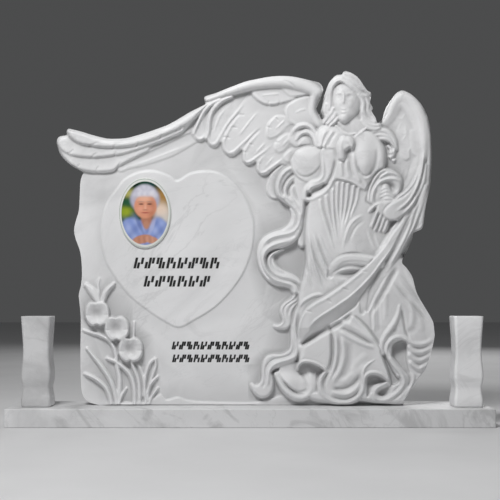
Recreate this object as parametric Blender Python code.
"""Marble memorial: an angel headstone carved in relief, on a plinth with two flower vases and an oval plaque.

Metres, +Z up. The carving faces -Y. The origin is at the middle of the plinth's underside.

The headstone is drawn in units seen square on from the viewing distance: x to the right, y down,
and h, the carving's height in front of the stone's ground. place() turns a drawn point into metres.
"""
import math

import bmesh
import bpy
import numpy as np
from mathutils.geometry import delaunay_2d_cdt

# Plinth. Its width follows from what stands on it
PLINTH_DEPTH = 0.233
PLINTH_HEIGHT = 0.053
PLINTH_EDGE = 0.0015

GAP = 0.0003

# Headstone. The stone's ground stands STONE_SETBACK behind the plinth's front
STONE_HEIGHT = 0.9875
STONE_SETBACK = 0.115
STONE_THICKNESS = 0.080

# The headstone's drawing, in units
TOP_Y = 71.5
FOOT_Y = 405
EYE_Y = 301
EYE_UNITS = 1000
STONE_LEFT_X = 56.7
STONE_RIGHT_X = 434.5
UNIT = STONE_HEIGHT / (FOOT_Y - TOP_Y)
HEART_HEIGHT = 1.6
CARVE_STEP = 1.0
SOFTEN = 0.55
FRONT_TRIANGLES = 8000
OUTLINE_TOLERANCE = 0.22

# Vases, each set in from its end of the plinth, from its front and from the headstone
VASE_SIDE = 0.0853
VASE_HEIGHT = 0.2636
VASE_CORNER = 0.009
VASE_SETBACK = 0.046
VASE_LEFT_MARGIN = 0.036
VASE_RIGHT_MARGIN = 0.023
VASE_LEFT_GAP = 0.0063
VASE_RIGHT_GAP = 0.0454
VASE_BORE_RADIUS = 0.030
VASE_BORE_DEPTH = 0.200

# Oval plaque, its middle in the drawing's units
PLAQUE_X = 145.1
PLAQUE_Y = 213.3
PLAQUE_HALF_WIDTH = 0.0770
PLAQUE_HALF_HEIGHT = 0.1040
PLAQUE_EDGE = 0.0040
PLAQUE_DOME = 0.0040

PLINTH_WIDTH = (VASE_LEFT_MARGIN + VASE_SIDE + VASE_LEFT_GAP + (STONE_RIGHT_X - STONE_LEFT_X) * UNIT
                + VASE_RIGHT_GAP + VASE_SIDE + VASE_RIGHT_MARGIN)
STONE_LEFT = VASE_LEFT_MARGIN + VASE_SIDE + VASE_LEFT_GAP - PLINTH_WIDTH / 2
MIDDLE_X = STONE_LEFT_X - STONE_LEFT / UNIT
PLINTH_FRONT = -PLINTH_DEPTH / 2
GROUND_PLANE = PLINTH_FRONT + STONE_SETBACK
SEAT = PLINTH_HEIGHT + GAP

MARBLE = (0.62, 0.62, 0.62)
PORCELAIN = (0.86, 0.87, 0.84)

for old in list(bpy.data.objects):
    bpy.data.objects.remove(old, do_unlink=True)


def spline(points, closed=False, spacing=1.5):
    """A smooth path through the points (Catmull-Rom), with a place about every spacing units."""
    p = np.asarray(points, float)
    if len(p) == 2 and not closed:
        n = max(2, int(np.linalg.norm(p[1] - p[0]) / spacing))
        return p[0] + (p[1] - p[0]) * np.linspace(0, 1, n + 1)[:, None]
    if closed:
        ends = np.vstack([p[-1:], p, p[:2]])
    else:
        ends = np.vstack([2 * p[0] - p[1], p, 2 * p[-1] - p[-2]])
    path = []
    for a, b, c, d in zip(ends, ends[1:], ends[2:], ends[3:]):
        n = max(2, int(np.linalg.norm(c - b) / spacing))
        t = (np.arange(n) / n)[:, None]
        path.append(0.5 * (2 * b + (c - a) * t + (2 * a - 5 * b + 4 * c - d) * t ** 2
                           + (3 * b - a - 3 * c + d) * t ** 3))
    if not closed:
        path.append(p[-1:])
    return np.vstack(path)


def along(values, t):
    """A value, or several spread evenly along a path, at the places t from 0 to 1."""
    values = np.atleast_1d(np.asarray(values, float))
    if len(values) == 1:
        return np.full_like(t, values[0])
    return np.interp(t, np.linspace(0, 1, len(values)), values)


def blend_max(a, b, fillet):
    """The higher of two surfaces, with a fillet where they meet."""
    near = np.maximum(fillet - np.abs(a - b), 0) / fillet
    return np.maximum(a, b) + near * near * fillet / 4


def smooth(x):
    x = np.clip(x, 0, 1)
    return x * x * (3 - 2 * x)


# The slope of a piece's foot, the breadth of a cloth edge, and how far in a panel is measured
WALL = 2.2
LAP_EDGE = 0.7
PANEL_REACH = 60


class Carving:
    def __init__(self, x0, y0, x1, y1, step):
        self.step = step
        self.x = np.arange(x0, x1 + step / 2, step)
        self.y = np.arange(y0, y1 + step / 2, step)
        self.h = np.zeros((len(self.y), len(self.x)))

    def window(self, lo, hi):
        c = np.searchsorted(self.x, (lo[0], hi[0]))
        r = np.searchsorted(self.y, (lo[1], hi[1]))
        return slice(*r), slice(*c)

    def near(self, path, reach):
        """Distance, place along (0 to 1) and signed side, in a window round a path."""
        lo, hi = path.min(0) - reach, path.max(0) + reach
        rows, cols = self.window(lo, hi)
        X, Y = self.x[cols][None, :], self.y[rows][:, None]
        shape = (Y.shape[0], X.shape[1])
        best = np.full(shape, 1e18)
        place = np.zeros(shape)
        side = np.zeros(shape)
        gaps = np.linalg.norm(np.diff(path, axis=0), axis=1)
        total = max(gaps.sum(), 1e-9)
        s = 0.0
        for p, q, gap in zip(path, path[1:], gaps):
            if gap > 0:
                a, b = np.minimum(p, q) - reach, np.maximum(p, q) + reach
                c = slice(*np.searchsorted(X[0], (a[0], b[0])))
                r = slice(*np.searchsorted(Y[:, 0], (a[1], b[1])))
                x, y = X[:, c] - p[0], Y[r] - p[1]
                d = (q - p) / gap
                t = np.clip(x * d[0] + y * d[1], 0, gap)
                dx, dy = x - t * d[0], y - t * d[1]
                dist = dx * dx + dy * dy
                sub = best[r, c]
                closer = dist < sub
                sub[closer] = dist[closer]
                place[r, c][closer] = ((s + t) / total)[closer]
                side[r, c][closer] = (x * d[1] - y * d[0])[closer]
            s += gap
        return rows, cols, np.sqrt(best), place, side

    def inside(self, path, rows, cols):
        X, Y = self.x[cols][None, :], self.y[rows]
        parity = np.zeros((len(Y), X.shape[1]), bool)
        for p, q in zip(path, np.roll(path, -1, axis=0)):
            r = np.nonzero((p[1] > Y) != (q[1] > Y))[0]
            if len(r):
                cross = p[0] + (Y[r] - p[1]) / (q[1] - p[1]) * (q[0] - p[0])
                parity[r] ^= X < cross[:, None]
        return parity

    def depth_inside(self, path, reach):
        """Distance inside a closed path, negative outside."""
        loop = np.vstack([path, path[:1]])
        rows, cols, dist, _, _ = self.near(loop, reach)
        within = self.inside(path, rows, cols)
        dist = np.minimum(dist, 1e6)
        return rows, cols, np.where(within, dist, -dist)

    # Strips

    def bead(self, points, width, top, base=0.0, fillet=0.8, over=False):
        """A rounded strip along a path: width is half its breadth, top its crest."""
        reach = np.max(width) + 3
        rows, cols, d, t, _ = self.near(spline(points), reach)
        w, crest, foot = along(width, t), along(top, t), along(base, t)
        q = np.clip(d / w, 0, 1)
        f = foot + (crest - foot) * np.sqrt(1 - q * q) - WALL * np.maximum(d - w, 0)
        self.lay(rows, cols, f, w - d, fillet, over)

    def lay(self, rows, cols, f, inner, fillet, over):
        h = self.h[rows, cols]
        if over:
            m = smooth(inner / over)
            self.h[rows, cols] = h + (f - h) * m
        else:
            self.h[rows, cols] = np.where(inner > -3, blend_max(h, f, fillet), h)

    def fold(self, points, width, height, fade=0.15, fade_end=None):
        """Raises, or with a negative height sinks, a soft line."""
        rows, cols, d, t, _ = self.near(spline(points), np.max(width) * 1.05)
        w, a = along(width, t), along(height, t)
        ends = (smooth(t / fade) if fade else 1.0) * smooth((1 - t) / (fade_end or fade))
        shape = np.cos(np.pi / 2 * np.clip(d / w, 0, 1)) ** 2
        self.h[rows, cols] += a * ends * shape

    def lap(self, points, width, height, fade):
        """A cloth edge: high on the path's left side, looking along it, falling away over width."""
        reach = np.max(width) * 3
        rows, cols, d, t, side = self.near(spline(points), reach)
        w, a = along(width, t), along(height, t)
        ends = smooth(t / fade) * smooth((1 - t) / fade)
        signed = np.where(side > 0, d, -d)
        rise = smooth((signed + LAP_EDGE) / LAP_EDGE)
        fall = np.exp(-np.maximum(signed, 0) / w) * smooth((reach - d) / w)
        live = d < reach
        self.h[rows, cols] += np.where(live, a * ends * rise * fall, 0)

    # Areas

    def panel(self, outline, top, edge=3.0, base=0.0, fillet=0.8, over=False, dome=0.0):
        """A closed area with rounded edges. top is a height or a function of x and y."""
        rows, cols, d = self.depth_inside(spline(outline, closed=True), PANEL_REACH)
        X, Y = self.x[cols][None, :], self.y[rows][:, None]
        crest = top(X, Y) if callable(top) else top
        q = np.clip(1 - d / edge, 0, 1)
        f = base + (crest - base) * np.sqrt(1 - q * q) - WALL * np.maximum(-d, 0)
        if dome:
            f = f + dome * (1 - np.clip(1 - d / d.max(), 0, 1) ** 2)
        self.lay(rows, cols, f, d, fillet, over)

    def ball(self, x, y, rx, ry, top, base=0.0, turn=0.0, fillet=0.8):
        """An ellipsoid's cap. turn is in degrees, clockwise on the drawing."""
        r = max(rx, ry) + 3
        rows, cols = self.window((x - r, y - r), (x + r, y + r))
        X, Y = self.x[cols][None, :] - x, self.y[rows][:, None] - y
        c, s = math.cos(math.radians(turn)), math.sin(math.radians(turn))
        u, v = X * c + Y * s, Y * c - X * s
        q = np.hypot(u / rx, v / ry)
        d = (1 - q) * min(rx, ry)
        f = base + (top - base) * np.sqrt(1 - np.clip(q, 0, 1) ** 2) - WALL * np.maximum(-d, 0)
        self.lay(rows, cols, f, d, fillet, False)

    def dent(self, x, y, rx, ry, depth, turn=0.0):
        """A soft hollow, or with a negative depth a soft swelling."""
        r = max(rx, ry)
        rows, cols = self.window((x - r, y - r), (x + r, y + r))
        X, Y = self.x[cols][None, :] - x, self.y[rows][:, None] - y
        c, s = math.cos(math.radians(turn)), math.sin(math.radians(turn))
        u, v = X * c + Y * s, Y * c - X * s
        q = np.clip(np.sqrt((u / rx) ** 2 + (v / ry) ** 2), 0, 1)
        self.h[rows, cols] -= depth * np.cos(np.pi / 2 * q) ** 2

    # Feathers

    def feather(self, points, width, top, base, rim, shaft, over, edge, shaft_width):
        """A flat feather: rounded edges, a low rim and a shaft along its middle."""
        w_max = np.max(width)
        rows, cols, d, t, _ = self.near(spline(points), w_max + 3)
        w, crest, foot = along(width, t), along(top, t), along(base, t)
        q = np.clip(1 - (w - d) / edge, 0, 1)
        f = foot + (crest - foot) * np.sqrt(1 - q * q) - WALL * np.maximum(d - w, 0)
        f = f + rim * np.exp(-((w - d - edge) / (0.45 * w_max)) ** 2)
        f = f + shaft * np.exp(-(d / shaft_width) ** 2) * smooth((0.97 - t) / 0.1)
        self.lay(rows, cols, f, w - d, 0.8, over)


def blurred(h, sigma):
    """The map softened over sigma grid steps."""
    n = int(3 * sigma + 1)
    k = np.exp(-0.5 * (np.arange(-n, n + 1) / sigma) ** 2)
    k /= k.sum()
    pad = np.pad(h, n, mode="edge")
    pad = sum(w * pad[i:i + h.shape[0]] for i, w in enumerate(k))
    return sum(w * pad[:, i:i + h.shape[1]] for i, w in enumerate(k))

SIDE_LEFT = [(99, 405), (93, 403.6), (88, 401.6), (84.5, 398), (82.5, 394), (81.3, 388), (80.8, 378),
             (80.4, 350), (80.8, 320),
             (79.5, 303), (78.7, 296), (79.5, 291), (81, 285), (82, 275), (81.4, 260), (79.7, 250),
             (75.4, 238),
             (74.1, 229.4), (76.1, 220), (78.8, 210.5), (79.7, 197), (80.3, 183), (82, 176), (84, 172)]
WING_TIPS = [(80.5, 170), (72, 164.8), (67, 162), (60, 154), (57.2, 145), (56.7, 141.5), (57.5, 138.5),
             (60, 136.3), (66.5, 135), (66.5, 132), (67.5, 129.5), (70, 128.8)]
WING_TOP = [(80, 131.2), (90, 134.3), (100, 137), (110, 138.8), (125, 138.3), (135, 136), (145, 133),
            (165, 126),
            (175, 121), (190, 112), (200, 107), (205.5, 103.5), (204.5, 97), (215, 93.3), (225, 89.3),
            (245, 81.7),
            (255, 79.5), (265, 77.4), (275, 76.1), (285, 76), (295, 76.9), (315, 81.5), (320, 83.3),
            (323, 88),
            (322.7, 92), (319.5, 100), (316.3, 108), (320, 117), (322, 119.5)]
HEAD_TOP = [(324.5, 116.5), (323.5, 113), (322, 110), (322.5, 107), (325, 98), (326.5, 90), (329, 83),
            (334, 77), (337, 75), (341.5, 74.5), (344, 71.5), (348, 71.5), (354, 74.3), (359.5, 79.3),
            (367, 90), (371.2, 93.5), (370.2, 102.5), (373, 108), (371.5, 111), (375.5, 117.5),
            (377.5, 122.7)]
SIDE_RIGHT = [(380, 121.5), (386, 116.3), (388, 108), (391, 100.5), (395.5, 94), (401, 90.6), (407, 91.8),
              (414, 96.5), (421, 104), (426.5, 114), (430, 126), (431.7, 150), (431.5, 165), (430.2, 185),
              (427.5, 198), (425, 212), (423.7, 223), (422.5, 227.5), (420.3, 229.8), (414, 231.8),
              (412, 239),
              (408, 249), (402, 261.5), (407, 268.5), (412.5, 277.5), (417, 293.5), (426.5, 310),
              (432.7, 321),
              (434.2, 330), (434.5, 336.5), (431.7, 350.5), (427.5, 364), (424, 371.5), (417, 380),
              (412.3, 387), (407.5, 395.5), (403.5, 402), (403.5, 405)]
OUTLINE = SIDE_LEFT + WING_TIPS + WING_TOP + HEAD_TOP + SIDE_RIGHT
HEART = [(178.5, 327.5), (162, 320), (146.7, 309.7), (130, 296.4), (116, 279), (105.3, 260), (100.9, 234.7),
         (103.6, 212), (109, 198.6), (117, 188), (125, 178.5), (140, 171.5), (155, 170.8), (170, 176),
         (177.3, 180.3), (190.6, 173.1), (206.7, 170.7), (221.4, 173.8), (234.8, 183.8), (244.2, 196),
         (250.9, 210.6), (254.2, 225.3), (252.2, 249.5), (245, 270), (237.3, 283), (225.8, 297), (213, 309),
         (195, 320)]


def level(*points):
    """The line through the points as a function of x."""
    p = np.array(points, float)
    return lambda X: np.interp(X, p[:, 0], p[:, 1])


def curve(*points):
    """A smooth line through the points, as a function of the first coordinate."""
    p = spline(points, spacing=1.0)
    return lambda v: np.interp(v, p[:, 0], p[:, 1])


def nicks(c, *cuts, depth=-1.3, width=1.0):
    for a, b in cuts:
        c.fold([a, b], width, depth, fade=0, fade_end=0.5)


def left_wing(c):
    # The three layers of long feathers, lowest first
    low = [(118, 171), (130, 169), (150, 164.2), (170, 157.5), (180, 152.5), (196, 143)]
    yl = level(*low)
    c.panel(low + [(215, 130), (215, 105), (150, 140), (110, 150)], lambda X, Y: 1.2 + 0.02 * (Y - yl(X)),
            2.2)
    c.fold([(120, 167.5), (130, 166.5), (150, 160), (170, 152.5), (180, 148.5), (197, 141.5)], 1.6, 0.45,
           fade=0.35)
    mid = [(118, 166), (125, 161), (140, 157), (150, 152.5), (170, 143), (180, 138), (196, 131)]
    ym = level(*mid)
    c.panel(mid + [(215, 120), (215, 100), (150, 130), (110, 145)], lambda X, Y: 2.3 + 0.03 * (Y - ym(X)),
            2.2)
    third = [(57.5, 146), (60, 153), (67, 162), (75, 168), (84, 171.5), (97, 172.8), (112, 171.7),
             (120, 166.5),
             (130, 161), (140, 156), (150, 150), (150, 138), (64, 138)]
    yc = level(*third[2:11])
    c.panel(third, lambda X, Y: 4.4 + 0.06 * (Y - yc(X)), 3.4)
    nicks(c, ((78, 166.5), (80, 163.5)), ((96, 171.5), (99, 165.5)), ((116, 170.5), (121, 161)))
    second = [(56.8, 141), (57.6, 146.6), (64, 153.5), (75, 157.3), (90, 158.8), (100, 158.5), (120, 156),
              (130, 153.5),
              (150, 147), (170, 139), (185, 131), (190, 118), (120, 134), (75, 128), (66, 134.6),
              (59.6, 136.6)]
    yb = level(*second[1:11])
    c.panel(second, lambda X, Y: 6.6 + 0.09 * (Y - yb(X)), 3.6)
    nicks(c, ((69, 153.5), (75, 149)), ((91, 157.5), (98, 152)), ((114, 156), (117, 151)))
    first = [(66, 130), (67, 135.5), (72, 141), (80, 145.2), (88, 147), (100, 148.7), (110, 149.2),
             (130, 148),
             (150, 142.5), (170, 134.5), (180, 130), (190, 124), (197, 118), (203, 111), (208, 106),
             (216, 100)]
    ya = level(*first[1:16])
    c.panel(first + [(205.5, 102.8), (200, 106.4), (190, 111.6), (175, 120.4), (165, 125.4), (145, 132.4),
                     (135, 135.4),
                     (125, 137.8), (110, 138.3), (100, 136.5), (90, 133.8), (80, 130.7), (70, 128.4)],
            lambda X, Y: 9.4 + 0.06 * (Y - ya(X)), 4.2, fillet=1.2)
    nicks(c, ((89, 146.5), (100, 141.5)), ((112, 149), (117, 143)), ((136, 146.5), (139, 141)),
          ((160, 138.5), (162, 133)), ((180, 130), (181.5, 124)))
    c.fold([(84, 135), (100, 140.4), (112, 142.4), (125, 142), (145, 137), (165, 129.6), (190, 115.5)],
           1.6, -0.5)

    # The face of the wing, one low sheet ending in feather tips
    sheet = [(192.4, 134), (193.6, 138.6), (197, 141.2), (201.6, 141.6), (205.4, 139), (207, 141.4),
             (209.4, 145.8),
             (213.6, 147.8), (218, 146.2), (221.2, 143), (222.4, 149), (225.6, 154), (230, 156.4),
             (234.6, 155.8),
             (239, 152.4), (242, 150.6), (242.6, 159.6), (244.6, 163.4), (248, 165), (252.4, 163.8),
             (255.8, 162.4),
             (256.6, 170), (259.4, 174.4), (263, 175.6), (268, 174), (274, 169.6), (282, 165), (300, 168),
             (318, 126),
             (314, 112), (319, 100), (318, 84), (285, 79), (250, 85), (214, 98), (203, 110), (196, 124)]
    c.panel(sheet, lambda X, Y: 3.0 + 0.014 * (X - 200), 2.4, fillet=1.0)
    tips = (
        ([(206, 106), (200, 115), (196.6, 124), (194.6, 132), (196.4, 137.4), (200.4, 139), (204, 136.4),
          (206.6, 129)],
         [(211, 104), (205.6, 113), (202.4, 122), (200.6, 130)]),
        ([(219, 105), (213.6, 114), (210.6, 124), (209.4, 133), (208.8, 140), (211.6, 144), (216, 143),
          (220.6, 136),
          (227, 125), (238, 111), (249, 97)], [(226, 108), (219.6, 117), (215.6, 127), (213.6, 135)]),
        ([(243, 113), (236, 120.5), (230.4, 128), (226, 136), (223.6, 144), (225, 150), (229, 152.8),
          (234, 151.4),
          (241, 145), (250, 136.6), (262, 124)], [(259, 111), (252, 119), (245, 128), (237, 138)]),
        ([(263, 130), (256, 136.6), (249.6, 143.6), (245, 151), (243.6, 158), (245.4, 162), (250, 161.6),
          (257, 157),
          (266, 150), (275, 142)], [(266, 142), (260, 148.6), (254.6, 154.6)]),
        ([(268, 153), (261, 159.6), (258, 167), (259.4, 172), (264, 172.6), (270, 168.6), (279, 162),
          (287, 155)],
         [(275, 156), (270, 161.4), (265.4, 167)]),
        ([(279, 115), (272, 120), (267.4, 127), (266.6, 134), (269, 137.6), (274, 137), (281, 132.4),
          (289, 126)],
         [(286, 119), (280.6, 124.6), (275.4, 130)]),
        ([(289, 132.6), (281, 138), (275.6, 144), (275.4, 149.6), (279, 152), (284.6, 149.4), (291, 143.6)],
         [(291, 137), (286, 142), (282, 146.6)]),
        ([(297, 146), (289.4, 151), (284.4, 156), (285.4, 160.4), (290, 161.6), (295, 158)], [(296, 149.4),
                                                                                              (291.6, 155)]),
    )
    for k, (rim, shaft) in enumerate(tips):
        if k > 4:
            c.panel(rim + [(300, 120)] if k == 5 else rim + [(304, 134)], 5.2 + 0.2 * (k - 5), 1.8,
                    base=3.2, fillet=0.9)
        c.fold(rim, 1.9, 1.0, fade=0.25)
        c.fold(shaft, 1.3, 0.85, fade=0.3)
    c.fold([(243, 110), (236, 117), (229, 125), (224, 134)], 1.6, -0.6, fade=0.2)
    c.fold([(262, 128), (254, 134.6), (247, 142.6), (242.4, 150)], 1.6, -0.6, fade=0.2)
    nicks(c, ((224, 137), (231, 138)), ((232, 127), (238, 128)), ((243.6, 152), (248.4, 152.6)),
          ((249.4, 144), (254, 145)), ((267.6, 127), (272, 128)), ((258, 163), (262, 165)), ((209, 129.4),
                                                                                             (214, 129.6)),
          ((276, 142), (280, 143)), ((240, 114.4), (245, 115)), ((276, 118), (278.6, 121)))
    c.panel([(287, 120.6), (285, 115), (284.8, 110), (287, 105), (291, 101.5), (300, 97), (313, 96),
             (312, 108),
             (312, 118), (316, 127), (300, 127), (291, 124)], 6.4, 2.4, base=3.4)
    c.fold([(291, 103), (286.8, 108), (286.4, 114), (289, 119.6)], 1.7, 0.5, fade=0.2)
    c.fold([(296, 113), (300, 110.5), (306, 109)], 1.3, 0.7)
    c.panel([(253, 88), (251.5, 94), (254, 98), (262, 104), (268, 105.8), (274, 105.6), (284, 103.4),
             (296, 99),
             (296, 86), (270, 84)], 6.4, 3.0, base=3.2)
    c.fold([(253.6, 93), (258, 99), (266, 103), (275, 103.4), (285, 101)], 2.0, 0.5, fade=0.2)
    c.fold([(262, 95.6), (270, 94.6), (280, 93.6)], 1.3, 0.7)
    nicks(c, ((268.5, 105), (268.5, 100)), ((279, 104), (280, 100.4)))
    c.panel([(281, 86), (283.5, 91.5), (288, 95.6), (293, 97), (299, 96.6), (308, 94), (306, 84)], 7.4,
            2.0, base=5.0)
    # The arm of the wing, round above and below
    c.bead([(207.4, 99.6), (216, 96.6), (226, 92.6), (236, 89), (246, 85.8), (256, 83.6), (266, 82.2),
            (276, 81.6),
            (286, 82), (296, 83.6), (305, 86.4), (312, 89.6), (316.4, 92.4)],
           [2.6, 3.4, 4.6, 5.6, 6.2, 6.6, 7, 7.2, 7.2, 7.4, 7.6, 7.2, 6.4],
           [6.6, 8.4, 9.8, 10.6, 11, 11.2, 11.3, 11.4, 11.4, 11.6, 11.6, 11.4, 10.8], base=3.0, fillet=1.6)
    c.bead([(315.6, 93), (313.6, 99), (312.2, 106), (312.4, 112), (314.6, 118), (319, 124.6)], [6, 4.2,
                                                                                                3.6, 3.6,
                                                                                                4, 4.6],
           [10.6, 9.6, 8.8, 8.4, 8.2, 8.2], base=3.6, fillet=2.0)
    c.fold([(283, 80), (290, 83), (296, 88)], 1.5, -0.7)
    c.fold([(280, 78.4), (288, 80), (294, 83.4)], 1.6, 0.5)
    # The strips that turn over from the arm into the first feathers
    c.bead([(232, 96.5), (223, 100), (215.6, 106.4), (211, 114), (209, 123), (208.6, 131), (206.4, 138)],
           [1.6, 2.4, 2.6, 2.4, 2.2, 2, 1.4], [8, 8, 7.6, 7, 6.4, 5.8, 5], base=3.4, fillet=1.4)
    c.bead([(220, 99.4), (212, 103.5), (205, 110), (200.4, 118), (196.4, 127), (193.6, 134)], [1.6, 2, 2.2,
                                                                                               2, 1.6, 1.2],
           [8, 7.8, 7.2, 6.4, 5.6, 4.8], base=3.0, fillet=1.4)


def right_wing(c):
    c.panel([(376, 122), (380, 121.5), (386, 116.3), (388, 108), (391, 100.5), (395.5, 94), (401, 90.6),
             (407, 91.8),
             (414, 96.5), (421, 104), (426.5, 114), (430, 126), (431.7, 150), (431.5, 165), (430.2, 185),
             (427.5, 198),
             (425, 212), (423.7, 223), (418, 233), (410, 236), (396, 262), (380, 250), (370, 200),
             (372, 150)],
            8.2, 5.0, base=1.0)
    c.panel([(386, 122), (392, 114), (396.5, 106.5), (401, 104), (406, 106), (411, 111), (416, 119),
             (419.5, 130),
             (421, 142), (420, 155), (416, 170), (410, 184), (402, 192), (392, 196), (380, 190),
             (378, 130)], 5.8, 3.0,
            over=7.0)
    tip = curve((126, 0.0), (144, 0.4), (158, 1.3))
    c.panel([(396, 132), (397.6, 148), (400, 156.6), (404.4, 160.6), (409, 160), (411, 154), (410, 140),
             (406, 128)],
            lambda X, Y: 5.8 + tip(Y), 2.2, base=4.6, fillet=1.2)
    c.panel([(410, 130), (409.6, 146), (411.4, 153), (415, 156.6), (419, 155.4), (420.6, 148), (420, 132)],
            lambda X, Y: 6.2 + tip(Y), 2.2, base=4.6, fillet=1.2)
    c.fold([(402.4, 141), (404.4, 137.6), (407, 134)], 1.3, 0.5, fade=0.3)
    c.fold([(407.6, 152.6), (409.4, 149.4), (412, 146.6)], 1.3, 0.6, fade=0.3)
    c.fold([(403, 150), (405, 151)], 1.3, 0.4, fade=0.3)
    for x0, y0, x1, y1 in ((404, 166, 398, 186), (409, 164, 404, 182), (413, 162, 408, 178),
                           (402, 122, 396, 134),
                           (412, 120, 416, 132), (391, 124, 389, 138), (405, 124, 406, 134)):
        c.fold([(x0, y0), (x1, y1)], 1.6, 0.35, fade=0.3)
    for cup in ([(389, 142), (390.4, 149), (394.4, 151.4), (397, 148)], [(394, 112), (398, 118),
                                                                         (403, 118), (405, 112)],
                [(399, 127), (401.6, 133), (406, 133.4), (408.6, 128)], [(409, 116), (412, 122),
                                                                         (416, 121.4)]):
        c.fold(cup, 1.4, 0.45, fade=0.3)
    # The bands of the outer edge
    c.bead([(384, 121), (389, 114.6), (392.6, 106), (396.8, 99.6), (401.6, 96.8), (407, 98.2),
            (413.4, 103.4),
            (419, 112), (422.8, 124), (424.4, 138), (424.4, 152), (422, 165), (417.4, 177), (411.4, 186.6),
            (404.6, 193.4),
            (397, 198.4), (390, 203.4)], [2.6, 3.6, 4.2, 4.8, 5.2, 5.4, 5.4, 5.2, 5, 4.8, 4.4, 4, 3.8, 3.4,
                                          3, 2.6, 2.2],
           [8.4, 8.8, 9, 9.2, 9.2, 9.3, 9.5, 9.9, 10.4, 11, 11.8, 12.6, 13.6, 14.8, 16.2, 17.4, 18.4],
           base=5.4,
           fillet=2.6)
    c.bead([(426, 118), (428.6, 134), (429, 153), (428, 172), (426.2, 190), (424, 206), (420.8, 221)],
           [1.2, 1.8, 2.4, 2.8, 3.2, 3.2, 2.8], [7.6, 8.6, 9.6, 10.2, 10.4, 10.2, 9.8], base=6.4,
           fillet=2.2)


def outer_feathers(c):
    # The long outer feathers behind the skirt's edge
    c.panel([(428, 196), (426, 214), (424, 226), (420, 230.5), (412, 232.5), (404, 233), (412, 205),
             (420, 190)],
            lambda X, Y: 8.8 + 0.04 * (X - 416), 2.0)
    for path, width, top in (
            ([(425, 165), (421, 186), (412, 206), (400, 226), (388, 246), (374, 268), (364, 292),
              (362.5, 312)],
             [3, 5, 6.5, 7, 7, 7, 6, 3], [11.4, 12, 12.8, 13.6, 14, 14, 13.4, 12.4]),
            ([(426, 186), (419, 206), (410, 226), (398, 248), (384, 270), (373, 292), (367, 310)],
             [3, 5, 6, 6.5, 6, 5, 2.4], [10.8, 11.2, 11.8, 12.4, 12.6, 12.4, 11.6])):
        c.feather(path, width, top, base=np.array(top) - 2.4, rim=0.6, shaft=0.5, over=1.6, edge=2.6,
                  shaft_width=1.4)
    c.fold([(418, 203), (413, 215), (409.4, 227), (404, 240), (397, 253), (388.6, 267)], 2.0, 1.0,
           fade=0.12)
    c.fold([(399, 266), (393, 275), (388.4, 284), (383, 294), (377.4, 303), (373, 311), (370, 318)], [4,
                                                                                                      4.6,
                                                                                                      4.4,
                                                                                                      4,
                                                                                                      3.6,
                                                                                                      3],
           [-1.6, -2.4, -2.4, -2.2, -1.8, -1.2], fade=0.15)
    c.fold([(421, 200), (416, 214), (412, 227), (406, 241), (399, 254), (391, 267)], 1.8, -0.9, fade=0.15)
    c.fold([(414.6, 205), (410, 217), (405, 229), (396, 243), (387, 256), (377, 268)], 1.8, -0.8, fade=0.15)


def long_feather(c):
    # The gap in its shade, then the blade: a bright upper face, a rib and a lower face turned down
    c.fold([(298, 346), (304, 343), (311, 338.4), (318, 334), (327, 330), (336, 325.6), (346, 319),
            (354, 312)],
           [3, 5, 5.5, 5, 4.5, 4.5, 4, 3], [-4, -7, -7, -5, -4, -4, -3, -2], fade=0.1)
    upper = [(400, 222), (393, 231), (386, 242), (380, 250), (373, 258), (366, 265), (357, 272), (343, 283),
             (327, 294), (318, 299), (310, 304), (304, 310), (300, 318), (297.5, 326), (297, 334),
             (300.4, 342)]
    lower = [(306, 337), (313, 331.6), (320, 329), (330, 325), (340, 319), (350, 312), (357, 306),
             (362, 297),
             (371, 283), (384, 264), (396, 244), (408, 220), (418, 196), (424, 170), (421, 164),
             (414, 186), (406, 206)]
    rib = [(309, 328), (314, 322), (320, 317), (330, 310.6), (340, 304), (350, 297), (358, 290),
           (366, 282), (374, 273),
           (382, 262), (390, 252), (398, 240), (404, 230), (412, 212), (419, 190)]
    under = curve(*rib)

    def top(X, Y):
        below = np.clip(Y - under(X), 0, 14) * np.clip((400 - X) / 40, 0, 1)
        above = np.clip(under(X) - Y, 0, 14) * np.clip((400 - X) / 40, 0, 1)
        return long_top(X) - 0.5 * below + 0.06 * above
    c.panel(upper + lower, top, 2.2, base=8, over=1.4)
    c.fold(rib, 1.9, 1.3, fade=0.06)
    c.fold([(305, 312.6), (301.6, 319), (299.6, 326), (299, 333), (300.6, 339)], 1.8, 0.9, fade=0.2)
    c.fold([(303.6, 316), (309, 309.4), (317, 303.6), (327, 298.4), (343, 287.6), (357, 276.6),
            (368, 267)], 2.2, 0.7,
           fade=0.15)
    nicks(c, ((305, 310.4), (313, 312.6)), ((328, 300), (332, 302.6)), ((343, 288.4), (350, 290.6)),
          ((361, 271), (368, 272.6)), depth=-1.6, width=1.0)


def hollow(c, outline, low, soft):
    c.panel(outline, low, 1.0, base=low, over=soft)


def long_top(X):
    # Highest along the middle, sinking towards the tip and towards the wing
    t = np.clip((X - 297) / 125, 0, 1)
    return np.interp(t, [0, 0.1, 0.3, 0.55, 0.8, 1], [15.5, 18, 20, 19, 15.6, 12.5])


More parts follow.
